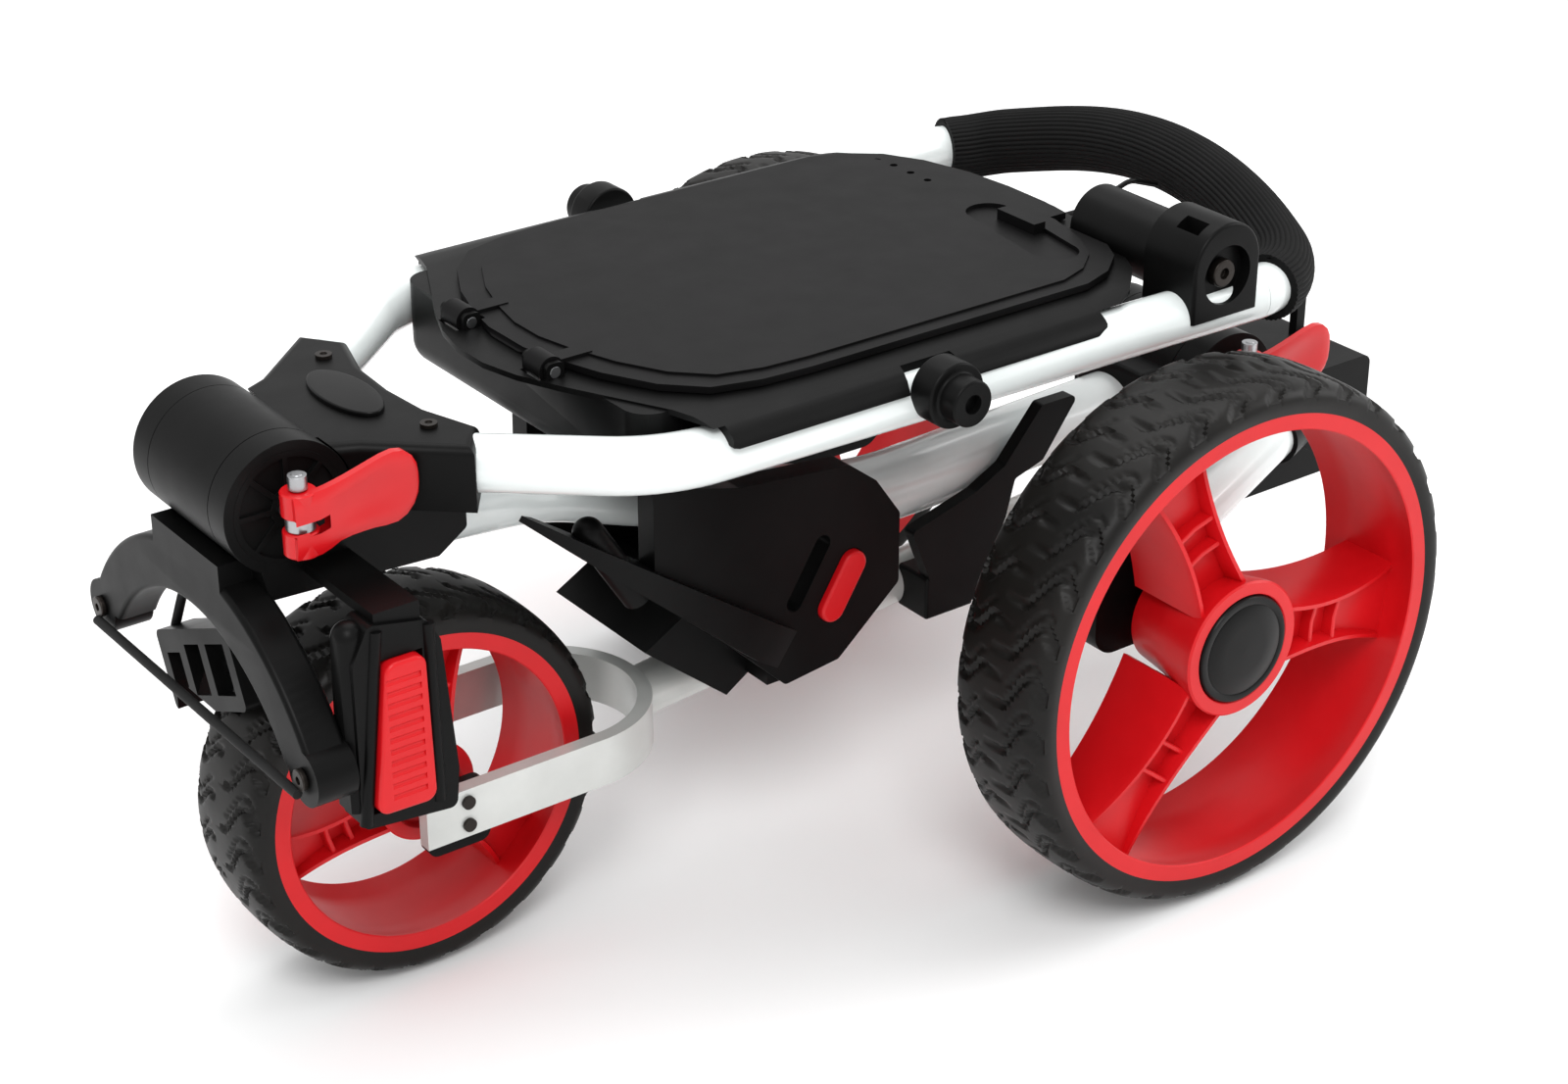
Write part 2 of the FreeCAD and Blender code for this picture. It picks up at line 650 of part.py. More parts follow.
# ---------------------------------------------------------------------- handle
TUBE_R = size("side_tube_d") / 2
TUBE_Y = size("side_tube_y")
TUBE_Z = size("side_tube_z")
TUBE_FRONT_Y = size("side_tube_front_y")
GRIP_START = 72.4


def side_tube(side, inner=None):
    """One side of the handle: out of the yoke, then back and slightly outward."""
    points = [V(-402, side * 37, TUBE_Z), V(-296, side * TUBE_FRONT_Y, TUBE_Z),
              V(GRIP_START, side * TUBE_Y, TUBE_Z)]
    return swept(rounded_route(points, [80.0]), TUBE_R, inner)


def yoke():
    """Drum between the barrel's ears, with a plate and two tube sockets."""
    drum = rod(BARREL, BARREL_R, 2 * DRUM)
    corners = [(-449, 30), (-412, 48), (-372, 84), (-356, 62), (-366, 30), (-368, 0)]
    corners += [(x, -y) for x, y in reversed(corners[:-1])]
    plate = prism([V(x, y, 281) for x, y in corners], V(0, 0, 33))
    plate = softened(plate, 5.0, lambda edge: edge.CenterOfMass.z > 313.9 and edge.CenterOfMass.x > -440)
    shape = drum.fuse(plate)
    shape = shape.cut(rod(BARREL, BARREL_R + 1.0, 2 * (BARREL_HALF + 10)).cut(rod(BARREL, 80.0, 2 * DRUM)))
    for side in (-1, 1):
        shape = shape.cut(side_tube(side))
    shape = shape.cut(sleeve_room())
    return shape.cut(rod(BARREL, PIN_R + GAP, 200.0)).removeSplitter()


def sleeve_room():
    """Space over the spine's head that the yoke must leave free."""
    room = block((-440.0, -60.0, 240.0), (-330.0, 60.0, 279.0))
    return room.cut(rod(BARREL, BARREL_R + 0.2, 200.0))


def bow_point(along_bow, across):
    """A point of the bow: its plan length is bent upward round a wide arc."""
    start_x, bend_r = 91.6, 45.7
    past = along_bow - start_x
    if past <= 0:
        return V(along_bow, across, TUBE_Z)
    angle = past / bend_r
    return V(start_x + bend_r * math.sin(angle), across, TUBE_Z + bend_r * (1 - math.cos(angle)))


BOW_CORNER_R = 48.4
BOW_CORNER_TURN = math.radians(61.5)
BOW_CORNER_STEPS = 8
BOW_CENTRE_REACH = 142.6


def bow_half():
    """Points of the bow from its middle out to one side tube."""
    corner_x = GRIP_START
    corner_y = TUBE_Y - BOW_CORNER_R
    end_x = corner_x + BOW_CORNER_R * math.sin(BOW_CORNER_TURN)
    end_y = corner_y + BOW_CORNER_R * math.cos(BOW_CORNER_TURN)
    rise = BOW_CENTRE_REACH - end_x
    points = []
    for i in range(5):
        across = end_y * i / 5
        points.append(bow_point(BOW_CENTRE_REACH - rise * (across / end_y) ** 2, across))
    for i in range(BOW_CORNER_STEPS + 1):
        angle = BOW_CORNER_TURN * (1 - i / BOW_CORNER_STEPS)
        points.append(bow_point(corner_x + BOW_CORNER_R * math.sin(angle),
                                corner_y + BOW_CORNER_R * math.cos(angle)))
    return points


def bow_wire(first=0):
    """Smooth route of the bow, leaving off points at both ends."""
    left = bow_half()
    right = [V(p.x, -p.y, p.z) for p in reversed(left[1:])]
    points = right + left
    points = points[first:len(points) - first]
    curve = Part.BSplineCurve()
    curve.interpolate(points)
    return Part.Wire(curve.toShape())


add("yoke", yoke())
add("right_side_tube", side_tube(-1, TUBE_R - size("tube_wall")))
add("left_side_tube", side_tube(1, TUBE_R - size("tube_wall")))
add("handle_bow", swept(bow_wire(), TUBE_R, TUBE_R - size("tube_wall")))
add("foam_grip", swept(bow_wire(2), size("grip_d") / 2).cut(swept(bow_wire(), TUBE_R)))

# --------------------------------------------------------------------- console
TRAY_TOP = 319.0
TRAY_LIP_LOW = 307.0
FLANGE_LOW = 316.0
LIP_Y = 145.0
KNOB_X = -146.0
KNOB_Z = 306.0
LID_PLATE = 3.6
LID_PANEL = 1.8
LID_HINGE = V(size("lid_hinge_x"), 0, size("lid_hinge_z"))
LID_PIN_R = 3.0
LID_KNUCKLE_R = 7.0
LID_KNUCKLE_Y = 38.0
POST_STEP = 9.6
BRACKET = V(39.0, -131.0, 322.0)
BRACKET_R = 20.0


def both_sides(half):
    """A closed outline from the points of its +Y half, front to back."""
    return half + [(x, -y) for x, y in reversed(half)]


def tray_outline(z):
    """Plan of the console with a bowed front and chamfered rear corners."""
    half = [(-323, 12), (-318, 34), (-308, 58), (-294, 86), (-281, 112), (-274, LIP_Y - 8),
            (-266, LIP_Y), (-44, LIP_Y), (-30, LIP_Y - 4), (-8, 128), (12, 108), (27, 80),
            (35, 45), (39, 15)]
    return [V(x, y, z) for x, y in both_sides(half)]


def lip_section():
    """The console's section: flat on top, then rounded down over both tubes."""
    half = [(LIP_Y, TRAY_LIP_LOW - 30.0), (LIP_Y, TRAY_LIP_LOW + 1.0), (LIP_Y - 1.2, TRAY_LIP_LOW + 3.0),
            (LIP_Y - 4.0, TRAY_LIP_LOW + 6.0), (LIP_Y - 8.5, TRAY_LIP_LOW + 8.7),
            (LIP_Y - 14.0, TRAY_LIP_LOW + 10.6), (LIP_Y - 21.0, TRAY_TOP)]
    right = [V(-340.0, -y, z) for y, z in half]
    left = [V(-340.0, y, z) for y, z in reversed(half)]
    return prism(right + left, V(400.0, 0, 0))


def console_tray():
    """Moulded basin between the side tubes, with lips that hook over them."""
    flange = prism(tray_outline(TRAY_LIP_LOW), V(0, 0, TRAY_TOP - TRAY_LIP_LOW))
    flange = flange.common(lip_section())
    flange = flange.cut(block((-340, -119, 290.0), (60, 119, FLANGE_LOW)))
    flange = flange.cut(block((-340, -160, 290.0), (-268, 160, FLANGE_LOW)))
    flange = flange.cut(block((-36, -160, 290.0), (60, 160, FLANGE_LOW)))
    basin = softened(block((-298.0, -110.0, 272.0), (2.0, 110.0, 318.0)), 14.0,
                     lambda e: along(Z_AXIS)(e) or e.CenterOfMass.z < 273)
    pocket = softened(block((-270.0, -100.0, 275.0), (-4.0, 100.0, 330.0)), 11.0,
                      lambda e: along(Z_AXIS)(e) or e.CenterOfMass.z < 276)
    tray = flange.fuse(basin).cut(pocket)
    for side in (-1, 1):
        tray = tray.cut(side_tube(side))
        tray = tray.cut(rod(V(KNOB_X, side * 154.0, KNOB_Z), 19.0, 44.0))
        slot_low = (-400, min(side * 111, side * 151), 280.0)
        slot_high = (100, max(side * 111, side * 151), TUBE_Z)
        tray = tray.cut(block(slot_low, slot_high))
        tray = tray.cut(rod(LID_HINGE + V(0, side * LID_KNUCKLE_Y, 0), LID_KNUCKLE_R + 1.5, 17.0))
    for post in lid_hinge_posts():
        tray = tray.fuse(post)
    tray = tray.cut(lid_hinge_pins()).cut(rod(V(BRACKET.x, -90.0, BRACKET.z), BRACKET_R, 90.0))
    return max(tray.removeSplitter().Solids, key=lambda piece: piece.Volume)


def lid_outline(z, inset=0.0):
    """Plan of the lid, inside the console's rim."""
    half = [(-303, 12), (-298, 36), (-289, 64), (-275, 91), (-257, 109), (-232, 116), (-204, 118),
            (-28, 118), (-8, 111), (9, 97), (21, 75), (29, 45), (32, 15)]
    grown = 1.0 - inset / 119.0
    middle = -135.0
    return [V(middle + (x - middle) * grown, y * grown, z) for x, y in both_sides(half)]


def console_lid():
    """Lid with a raised panel, a finger recess, a pull tab and two knuckles."""
    plate = prism(lid_outline(TRAY_TOP + 0.6), V(0, 0, LID_PLATE))
    panel = prism(lid_outline(TRAY_TOP + LID_PLATE, 9.0), V(0, 0, LID_PANEL))
    lid = plate.fuse(panel)
    for side in (-1, 1):
        y = side * LID_KNUCKLE_Y
        lid = lid.fuse(rod(LID_HINGE + V(0, y, 0), LID_KNUCKLE_R, 15.0))
        lid = lid.fuse(block((LID_HINGE.x, y - 5.0, 319.6), (-280.0, y + 5.0, 325.0)))
    recess_middle = TRAY_TOP + LID_PLATE + 3.5
    recess = rod(V(-4.0, -12.0, recess_middle), 13.0, 8.0, Z_AXIS)
    recess = recess.fuse(rod(V(-14.0, -76.0, recess_middle), 13.0, 8.0, Z_AXIS))
    recess = recess.fuse(prism([V(9.0, -12.0, recess_middle - 4.0), V(-1.0, -76.0, recess_middle - 4.0),
                                V(-27.0, -76.0, recess_middle - 4.0), V(-17.0, -12.0, recess_middle - 4.0)],
                               V(0, 0, 8.0)))
    lid = lid.cut(recess)
    lid = lid.fuse(block((-4.0, -48.0, TRAY_TOP + 3.0), (4.0, -18.0, TRAY_TOP + 9.0)))
    for i in range(4):
        lid = lid.cut(rod(V(0, 46.0 + 15.0 * i, 322.0), 2.2, 20.0, Z_AXIS))
    for y in (-LID_KNUCKLE_Y, LID_KNUCKLE_Y):
        for step in (-POST_STEP, POST_STEP):
            lid = lid.cut(rod(LID_HINGE + V(0, y + step, 0), LID_KNUCKLE_R + 0.5, 4.2))
    lid = lid.cut(rod(V(BRACKET.x, -90.0, BRACKET.z), BRACKET_R + 2.5, 110.0))
    return lid.cut(rod(LID_HINGE, LID_PIN_R + GAP, 120.0)).removeSplitter()


def lid_hinge_pins():
    """Two short pins in the tray that the lid's knuckles turn on."""
    pins = [rod(LID_HINGE + V(0, side * LID_KNUCKLE_Y, 0), LID_PIN_R, 22.0) for side in (-1, 1)]
    return Part.makeCompound(pins)


def lid_hinge_posts():
    """Lugs at the tray's front edge that hold the hinge pins."""
    posts = []
    for side in (-1, 1):
        for step in (-POST_STEP, POST_STEP):
            y = side * LID_KNUCKLE_Y + step
            post = block((LID_HINGE.x - 5.0, y - 1.4, 317.0), (LID_HINGE.x + 5.0, y + 1.4, 327.0))
            posts.append(softened(post, 3.0, lambda e: along(Y_AXIS)(e) and e.CenterOfMass.z > 320))
    return posts


add("console_tray", console_tray())
add("console_lid", console_lid())
add("lid_hinge_pins", lid_hinge_pins())


# ---------------------------------------------- accessory bracket and side knobs
def accessory_bracket():
    """Cheek clamped on the right tube, with a round arm that points inward."""
    cheek = rod(BRACKET + V(0, 0, 5.0), 23.0, 38.0)
    cheek = cheek.fuse(block((16.0, BRACKET.y - 19.0, 290.0), (62.0, BRACKET.y + 19.0, BRACKET.z + 5.0)))
    cheek = softened(cheek.removeSplitter(), 2.0, lambda edge: edge.CenterOfMass.y < BRACKET.y - 18.9)
    arm = rod(V(BRACKET.x, -84.0, BRACKET.z), BRACKET_R, 66.0)
    bracket = cheek.fuse(arm).cut(side_tube(-1))
    bracket = bracket.cut(block((0, -151, 280.0), (90, -111, TUBE_Z)))
    bracket = bracket.cut(rod(V(BRACKET.x, -150.0, BRACKET.z), 16.0, 14.0))
    bracket = bracket.cut(rod(V(BRACKET.x, -51.0, BRACKET.z), 14.0, 8.0))
    bracket = bracket.cut(rod(V(BRACKET.x, -140.0, BRACKET.z), 3.5, 16.0))
    bracket = bracket.cut(block((24.0, -142, 340.0), (32.0, -126, 356.0)))
    return max(bracket.removeSplitter().Solids, key=lambda piece: piece.Volume)


def bracket_screw():
    """Socket screw at the bottom of the bracket's round recess."""
    head = softened(rod(V(BRACKET.x, -145.5, BRACKET.z), 7.5, 5.0), 1.0)
    shank = rod(V(BRACKET.x, -138.0, BRACKET.z), 3.5, 12.0)
    return head.fuse(shank).cut(rod(V(BRACKET.x, -147.0, BRACKET.z), 3.0, 4.0)).removeSplitter()


def side_knob(side):
    """Accessory stud: a flange on the tube and a round socketed head."""
    tube_side = TUBE_FRONT_Y + (KNOB_X + 296.0) / (GRIP_START + 296.0) * (TUBE_Y - TUBE_FRONT_Y)
    flange = rod(V(KNOB_X, side * (tube_side + 19.0), KNOB_Z), 17.0, 16.0)
    head = rod(V(KNOB_X, side * (tube_side + 32.0), KNOB_Z), 12.0, 14.0)
    knob = softened(flange.fuse(head).removeSplitter(), 1.5)
    knob = knob.cut(rod(V(KNOB_X, side * (tube_side + 38.0), KNOB_Z), 5.0, 8.0))
    return knob.cut(side_tube(side)).removeSplitter()


def grip_cable():
    """Thin cable from the console's rear edge to the grip."""
    points = [V(20, -18, 313.5), V(60, -18, 313), V(92, -18, 323), V(112, -18, 316)]
    return swept(rounded_route(points, [20.0, 14.0]), 1.5)


add("accessory_bracket", accessory_bracket())
add("bracket_screw", bracket_screw())
add("side_knobs", Part.makeCompound([side_knob(-1), side_knob(1)]))
add("grip_cable", grip_cable().cut(swept(bow_wire(), size("grip_d") / 2)))


def badge():
    """Plain oval plate on the yoke."""
    ring = Part.Wire(Part.Ellipse(V(0, 0, 0), 30.0, 13.0).toShape())
    ring.Placement = FreeCAD.Placement(V(-390, 4, 314.0), FreeCAD.Rotation(Z_AXIS, 90))
    return softened(Part.Face(ring).extrude(V(0, 0, 2.5)), 1.0, lambda e: e.CenterOfMass.z > 316)


def yoke_screws():
    """Two countersunk screws that close the yoke on the side tubes."""
    screws = []
    for y in (-50.0, 50.0):
        screw = rod(V(-376.0, y, 315.0), 4.2, 2.0, Z_AXIS)
        screws.append(screw.cut(rod(V(-376.0, y, 316.0), 1.8, 1.6, Z_AXIS)))
    return Part.makeCompound(screws)


add("yoke_badge", badge())
add("yoke_screws", yoke_screws())

# ------------------------------------------------------------------ cam levers
LEVER_PIN_R = 2.5
CAM_R = 8.5
PADDLE = [(-2, -16), (10, -15.5), (17, -11), (37, -10), (47, -11), (54, -4), (58, 6), (55, 20), (45, 25),
          (30, 21), (12, 16.5), (-2, 16)]
BARREL_LEVER = V(-452.0, -62.5, 292.0)
HUB_LEVER = V(148.0, -64.0, 204.0)


def cam_lever(pin):
    """Red lever: a two-eared cam on an upright pin and a spoon-shaped paddle."""
    ears = rod(pin + V(0, 0, 9.75), CAM_R, 12.5, Z_AXIS).fuse(rod(pin + V(0, 0, -9.75), CAM_R, 12.5, Z_AXIS))
    paddle = prism([pin + V(x, -CAM_R, z) for x, z in PADDLE], V(0, 6.0, 0))
    paddle = softened(paddle, 3.0, along(Y_AXIS))
    lever = ears.fuse(paddle)
    lever = lever.cut(rod(pin, CAM_R + 0.7, 7.0, Z_AXIS))
    return lever.cut(rod(pin, LEVER_PIN_R + GAP, 60.0, Z_AXIS)).removeSplitter()


def lever_pin(pin):
    """Upright pin of a cam lever, with a spring and a nut above the cam."""
    shank = rod(pin + V(0, 0, 3.0), LEVER_PIN_R, 42.0, Z_AXIS)
    return shank.fuse(rod(pin + V(0, 0, 20.0), 4.5, 7.0, Z_AXIS)).removeSplitter()


def pull_rod(pin, into):
    """Eye between the cam's ears, on the rod that clamps the joint shut."""
    bar = rod(pin + V(0, into / 2, 0), 2.8, into, Y_AXIS)
    link = rod(pin, CAM_R - 1.5, 6.4, Z_AXIS).fuse(bar)
    return link.cut(rod(pin, LEVER_PIN_R, 60.0, Z_AXIS)).removeSplitter()


add("fold_lever", cam_lever(BARREL_LEVER))
add("fold_lever_pin", lever_pin(BARREL_LEVER))
add("fold_pull_rod", pull_rod(BARREL_LEVER, -BARREL_HALF - BARREL_LEVER.y - 2.0))
add("hub_lever", cam_lever(HUB_LEVER))
add("hub_lever_pin", lever_pin(HUB_LEVER))
add("hub_pull_rod", pull_rod(HUB_LEVER, -HUB_HALF - HUB_LEVER.y))

# ------------------------------------------------------------ lower bag cradle
CRADLE_BASE = V(-150.0, 0, 110.0)
BLADE_RUN = V(-0.811, 0, 0.585)
BLADE_UP = V(0.585, 0, 0.811)
FLANK = [(-262, 196), (-181, 117), (-146, 121), (-106, 155), (-106, 196), (-122, 219), (-140, 233),
         (-210, 240), (-262, 254)]


def in_cradle(run, across, up):
    """A point given along the blades, across the trolley and up their face."""
    return CRADLE_BASE + BLADE_RUN * run + Y_AXIS * across + BLADE_UP * up


def lower_cradle():
    """Open horseshoe for the bag's foot: two pointed blades that rise from a
    saddle clamped on the front tube, with a side plate on each flank."""
    thick = 22.0
    half = [(238, 62), (225, 54), (150, 50), (66, 50), (30, 40), (14, 22), (10, 0)]
    rim = [(-18, 0), (-12, 30), (14, 58), (60, 72), (150, 74), (205, 70)]
    shape = None
    for side in (-1, 1):
        corners = [in_cradle(run, side * across, -6.0) for run, across in half + rim]
        blade = prism(corners, BLADE_UP * thick)
        shape = blade if shape is None else shape.fuse(blade)
    saddle_side = [(-253, 149), (-202, 107), (-185, 118), (-168, 104), (-131, 109), (-91, 143), (-110, 150),
                   (-150, 150), (-215, 170)]
    shape = shape.fuse(buckle_face(saddle_side, -42.0, 84.0))
    flank = softened(buckle_face(FLANK, 50.0, 14.0), 3.0, along(Y_AXIS))
    shape = shape.fuse(flank).fuse(block((-190, 38, 118), (-150, 62, 136)))
    shape = shape.fuse(block((-190, -62, 118), (-150, -38, 136)))
    shape = shape.cut(spine_room()).cut(straight_bar(FRONT_TUBE_START, FRONT_TUBE_END, FRONT_TUBE_R))
    shape = shape.cut(rod(FRONT, FRONT_R + 6.0, 80.0))
    return max(shape.removeSplitter().Solids, key=lambda piece: piece.Volume)


def spine_room():
    """Space the spine sweeps as it lifts out of the cradle."""
    room = spine_bar(-2.0)
    for lift in (12.0, 30.0, 60.0):
        copy = room.copy()
        copy.translate(V(0, 0, lift))
        room = room.fuse(copy)
    return room


def lower_buckle():
    """Black housing on the right flank, with a slot for a strap and the button."""
    body = softened(buckle_face(FLANK, -66.0, 14.0), 4.0, along(Y_AXIS))
    cushion = straight_bar(V(-268, -59, 194), V(-296, -59, 238), 8.0)
    body = body.fuse(cushion).fuse(Part.makeSphere(8.0, V(-296, -59, 238)))
    slot = pill(LOWER_SLOT, 5.0, 34.0, V(0, 16.0, 0))
    pocket = pill(LOWER_BUTTON, 8.0, 26.0, V(0, 11.0, 0))
    return body.cut(slot).cut(pocket).removeSplitter()


def pill(centre, radius, straight, rise):
    """A slot-shaped bar that leans with the housing, pushed along rise."""
    half = LEAN * (straight / 2)
    out = LEAN_ACROSS * radius
    first, last = centre - half, centre + half
    edges = [
        Part.LineSegment(first + out, last + out).toShape(),
        Part.Arc(last + out, last + LEAN * radius, last - out).toShape(),
        Part.LineSegment(last - out, first - out).toShape(),
        Part.Arc(first - out, first - LEAN * radius, first + out).toShape(),
    ]
    return Part.Face(Part.Wire(edges)).extrude(rise)


LEAN = V(0.53, 0, 0.848)
LEAN_ACROSS = V(0.848, 0, -0.53)
LOWER_BUTTON = V(-145.0, -66.0, 165.0)
LOWER_SLOT = V(-166.0, -67.0, 178.0)
add("lower_cradle", lower_cradle().cut(buckle_face(FLANK, -66.0, 14.0)).cut(lower_buckle()))
add("lower_buckle", lower_buckle())
button = pill(LOWER_BUTTON + V(0, -4.0, 0), 7.6, 26.0, V(0, 10.0, 0))
add("lower_button", softened(button, 2.0, lambda edge: edge.CenterOfMass.y < -69.9))


def latch_plate():
    """Folded-leg rest: a plate beside the spine on a foot that clamps the tube."""
    outline = [(-71, 160), (-49, 105), (-18, 105), (-16, 124), (-4, 150), (2, 172), (22, 178), (47, 212),
               (20, 212), (-6, 182), (-26, 172)]
    plate = softened(buckle_face(outline, -34.0, 8.0), 3.0, along(Y_AXIS))
    foot = block((-60.0, -34.0, 102.0), (-26.0, -8.0, 128.0), 2.0)
    shape = plate.fuse(foot)
    return shape.cut(straight_bar(FRONT_TUBE_START, FRONT_TUBE_END, FRONT_TUBE_R)).removeSplitter()


add("latch_plate", latch_plate())
doc.recompute()


def trouble():
    """Names of the pieces that failed or have no valid shape."""
    bad = [o.Label for o in doc.Objects if {"Invalid", "Error"} & set(o.State)]
    for piece in nodes:
        if piece.Shape.isNull() or not piece.Shape.isValid():
            bad.append(piece.Label)
    return bad


if trouble():
    raise SystemExit("failed pieces: %s" % ", ".join(trouble()))
os.makedirs("parts", exist_ok=True)
for piece in nodes:
    piece.Shape.exportStep("parts/%s.step" % piece.Label)
    print("%-22s %10.0f mm3  solids %d" % (piece.Label, piece.Shape.Volume, len(piece.Shape.Solids)))
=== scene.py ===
"""Looks of the folded golf push trolley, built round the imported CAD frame."""

import json
import math

import bmesh
import bpy
from mathutils import Matrix, Vector

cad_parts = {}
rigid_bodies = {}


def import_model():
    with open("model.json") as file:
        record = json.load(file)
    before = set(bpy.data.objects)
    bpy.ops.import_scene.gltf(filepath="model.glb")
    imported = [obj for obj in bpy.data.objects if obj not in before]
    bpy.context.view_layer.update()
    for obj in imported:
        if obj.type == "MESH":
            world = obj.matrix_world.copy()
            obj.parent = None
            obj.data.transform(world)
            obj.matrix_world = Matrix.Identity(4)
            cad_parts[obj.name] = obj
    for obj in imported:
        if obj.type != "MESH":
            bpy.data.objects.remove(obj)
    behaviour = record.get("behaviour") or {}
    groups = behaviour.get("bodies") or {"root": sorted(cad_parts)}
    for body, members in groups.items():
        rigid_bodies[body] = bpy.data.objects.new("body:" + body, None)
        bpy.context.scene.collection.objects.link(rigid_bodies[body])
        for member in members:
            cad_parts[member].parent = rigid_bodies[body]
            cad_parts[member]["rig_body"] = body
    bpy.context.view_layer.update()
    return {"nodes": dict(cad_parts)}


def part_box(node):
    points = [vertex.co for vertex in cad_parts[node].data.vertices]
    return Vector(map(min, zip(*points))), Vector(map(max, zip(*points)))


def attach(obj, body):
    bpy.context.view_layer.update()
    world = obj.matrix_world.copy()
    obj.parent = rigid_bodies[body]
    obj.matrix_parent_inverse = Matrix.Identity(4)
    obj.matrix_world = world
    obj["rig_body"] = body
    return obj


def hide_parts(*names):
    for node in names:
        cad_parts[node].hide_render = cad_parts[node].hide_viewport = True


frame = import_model()
MM = 0.001

# ------------------------------------------------------------------- foam tyres
# Solid EVA foam tyres, moulded black and slightly dusty, pressed over the rims.
# Shallow S-shaped sipes cross the tread and a small step edges each shoulder.


def hex_colour(text):
    """An sRGB hex colour as the linear numbers a shader takes."""
    parts = [int(text[i:i + 2], 16) / 255 for i in (1, 3, 5)]
    line = [p / 12.92 if p <= 0.04045 else ((p + 0.055) / 1.055) ** 2.4 for p in parts]
    return (*line, 1.0)


def add_node(tree, kind, settings=None, values=None, links=None):
    """Adds a node, sets its settings and socket values, and links its inputs."""
    node = tree.nodes.new(kind)
    for name, value in (settings or {}).items():
        setattr(node, name, value)
    for name, value in (values or {}).items():
        node.inputs[name].default_value = value
    for name, output in (links or {}).items():
        tree.links.new(output, node.inputs[name])
    return node


def new_material(name):
    """An empty node material and its shader, with object coordinates in metres."""
    material = bpy.data.materials.new(name)
    material.use_nodes = True
    tree = material.node_tree
    shader = tree.nodes["Principled BSDF"]
    place = add_node(tree, "ShaderNodeTexCoord").outputs["Object"]
    return material, tree, shader, place


def moulded_finish(name, dark, light, rough, rough_spread, grain_mm, grain_depth, **sockets):
    """A moulded or sprayed surface: mottled colour, uneven gloss, fine grain."""
    material, tree, shader, place = new_material(name)
    mottle = add_node(tree, "ShaderNodeTexNoise", None,
                      {"Scale": 1000 / 55.0, "Detail": 5.0, "Roughness": 0.6}, {"Vector": place})
    ramp = add_node(tree, "ShaderNodeMapRange", None,
                    {"From Min": 0.32, "From Max": 0.68}, {"Value": mottle.outputs["Fac"]})
    colour = add_node(tree, "ShaderNodeMix", {"data_type": "RGBA"},
                      {6: hex_colour(dark), 7: hex_colour(light)}, {0: ramp.outputs["Result"]})
    tree.links.new(colour.outputs[2], shader.inputs["Base Color"])
    smear = add_node(tree, "ShaderNodeTexNoise", None,
                     {"Scale": 1000 / 18.0, "Detail": 3.0}, {"Vector": place})
    gloss = add_node(tree, "ShaderNodeMapRange", None,
                     {"To Min": rough - rough_spread, "To Max": rough + rough_spread},
                     {"Value": smear.outputs["Fac"]})
    tree.links.new(gloss.outputs["Result"], shader.inputs["Roughness"])
    grain = add_node(tree, "ShaderNodeTexNoise", None,
                     {"Scale": 1000 / grain_mm, "Detail": 3.0, "Roughness": 0.55}, {"Vector": place})
    bump = add_node(tree, "ShaderNodeBump", None, {"Strength": 0.5, "Distance": grain_depth * MM},
                    {"Height": grain.outputs["Fac"]})
    tree.links.new(bump.outputs["Normal"], shader.inputs["Normal"])
    for socket, value in sockets.items():
        shader.inputs[socket.replace("_", " ")].default_value = value
    return material


# EVA foam skinned in the mould: near black, satin, with a pale bloom of dust.
eva_foam = moulded_finish("moulded_eva_foam", "#0a0908", "#13110f", 0.44, 0.09, 1.6, 0.05,
                          Specular_IOR_Level=0.2)


def make_piece(name, verts, faces, material, body, replaced=(), smooth=True):
    """A mesh from millimetre points, riding on a body in place of CAD nodes."""
    mesh = bpy.data.meshes.new(name)
    mesh.from_pydata([Vector(v) * MM for v in verts], [], faces)
    mesh.validate()
    mesh.update()
    for face in mesh.polygons:
        face.use_smooth = smooth
    piece = bpy.data.objects.new(name, mesh)
    bpy.context.scene.collection.objects.link(piece)
    mesh.materials.append(material)
    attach(piece, body)
    if replaced:
        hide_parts(*replaced)
    return piece


def smooth_by_angle(piece, degrees):
    """Shades smooth, but keeps edges sharper than the angle crisp."""
    limit = math.radians(degrees)
    shape = bmesh.new()
    shape.from_mesh(piece.data)
    bmesh.ops.recalc_face_normals(shape, faces=shape.faces)
    for edge in shape.edges:
        edge.smooth = edge.calc_face_angle(0.0) < limit
    shape.to_mesh(piece.data)
    shape.free()


def loop_faces(rings, around, closed_rings=False):
    """Quads between rings of points; the last ring joins the first if closed."""
    faces = []
    for i in range(rings if closed_rings else rings - 1):
        for j in range(around):
            a = i * around + j
            b = i * around + (j + 1) % around
            c = ((i + 1) % rings) * around + (j + 1) % around
            d = ((i + 1) % rings) * around + j
            faces.append((a, b, c, d))
    return faces


def box_centre(node):
    """Middle and size of a CAD node in millimetres."""
    low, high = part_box(node)
    return (low + high) / 2 / MM, (high - low) / MM


TYRE_THICK = 15.5
SIPE_DEPTH = 2.0
SHOULDER_STEP = 2.6


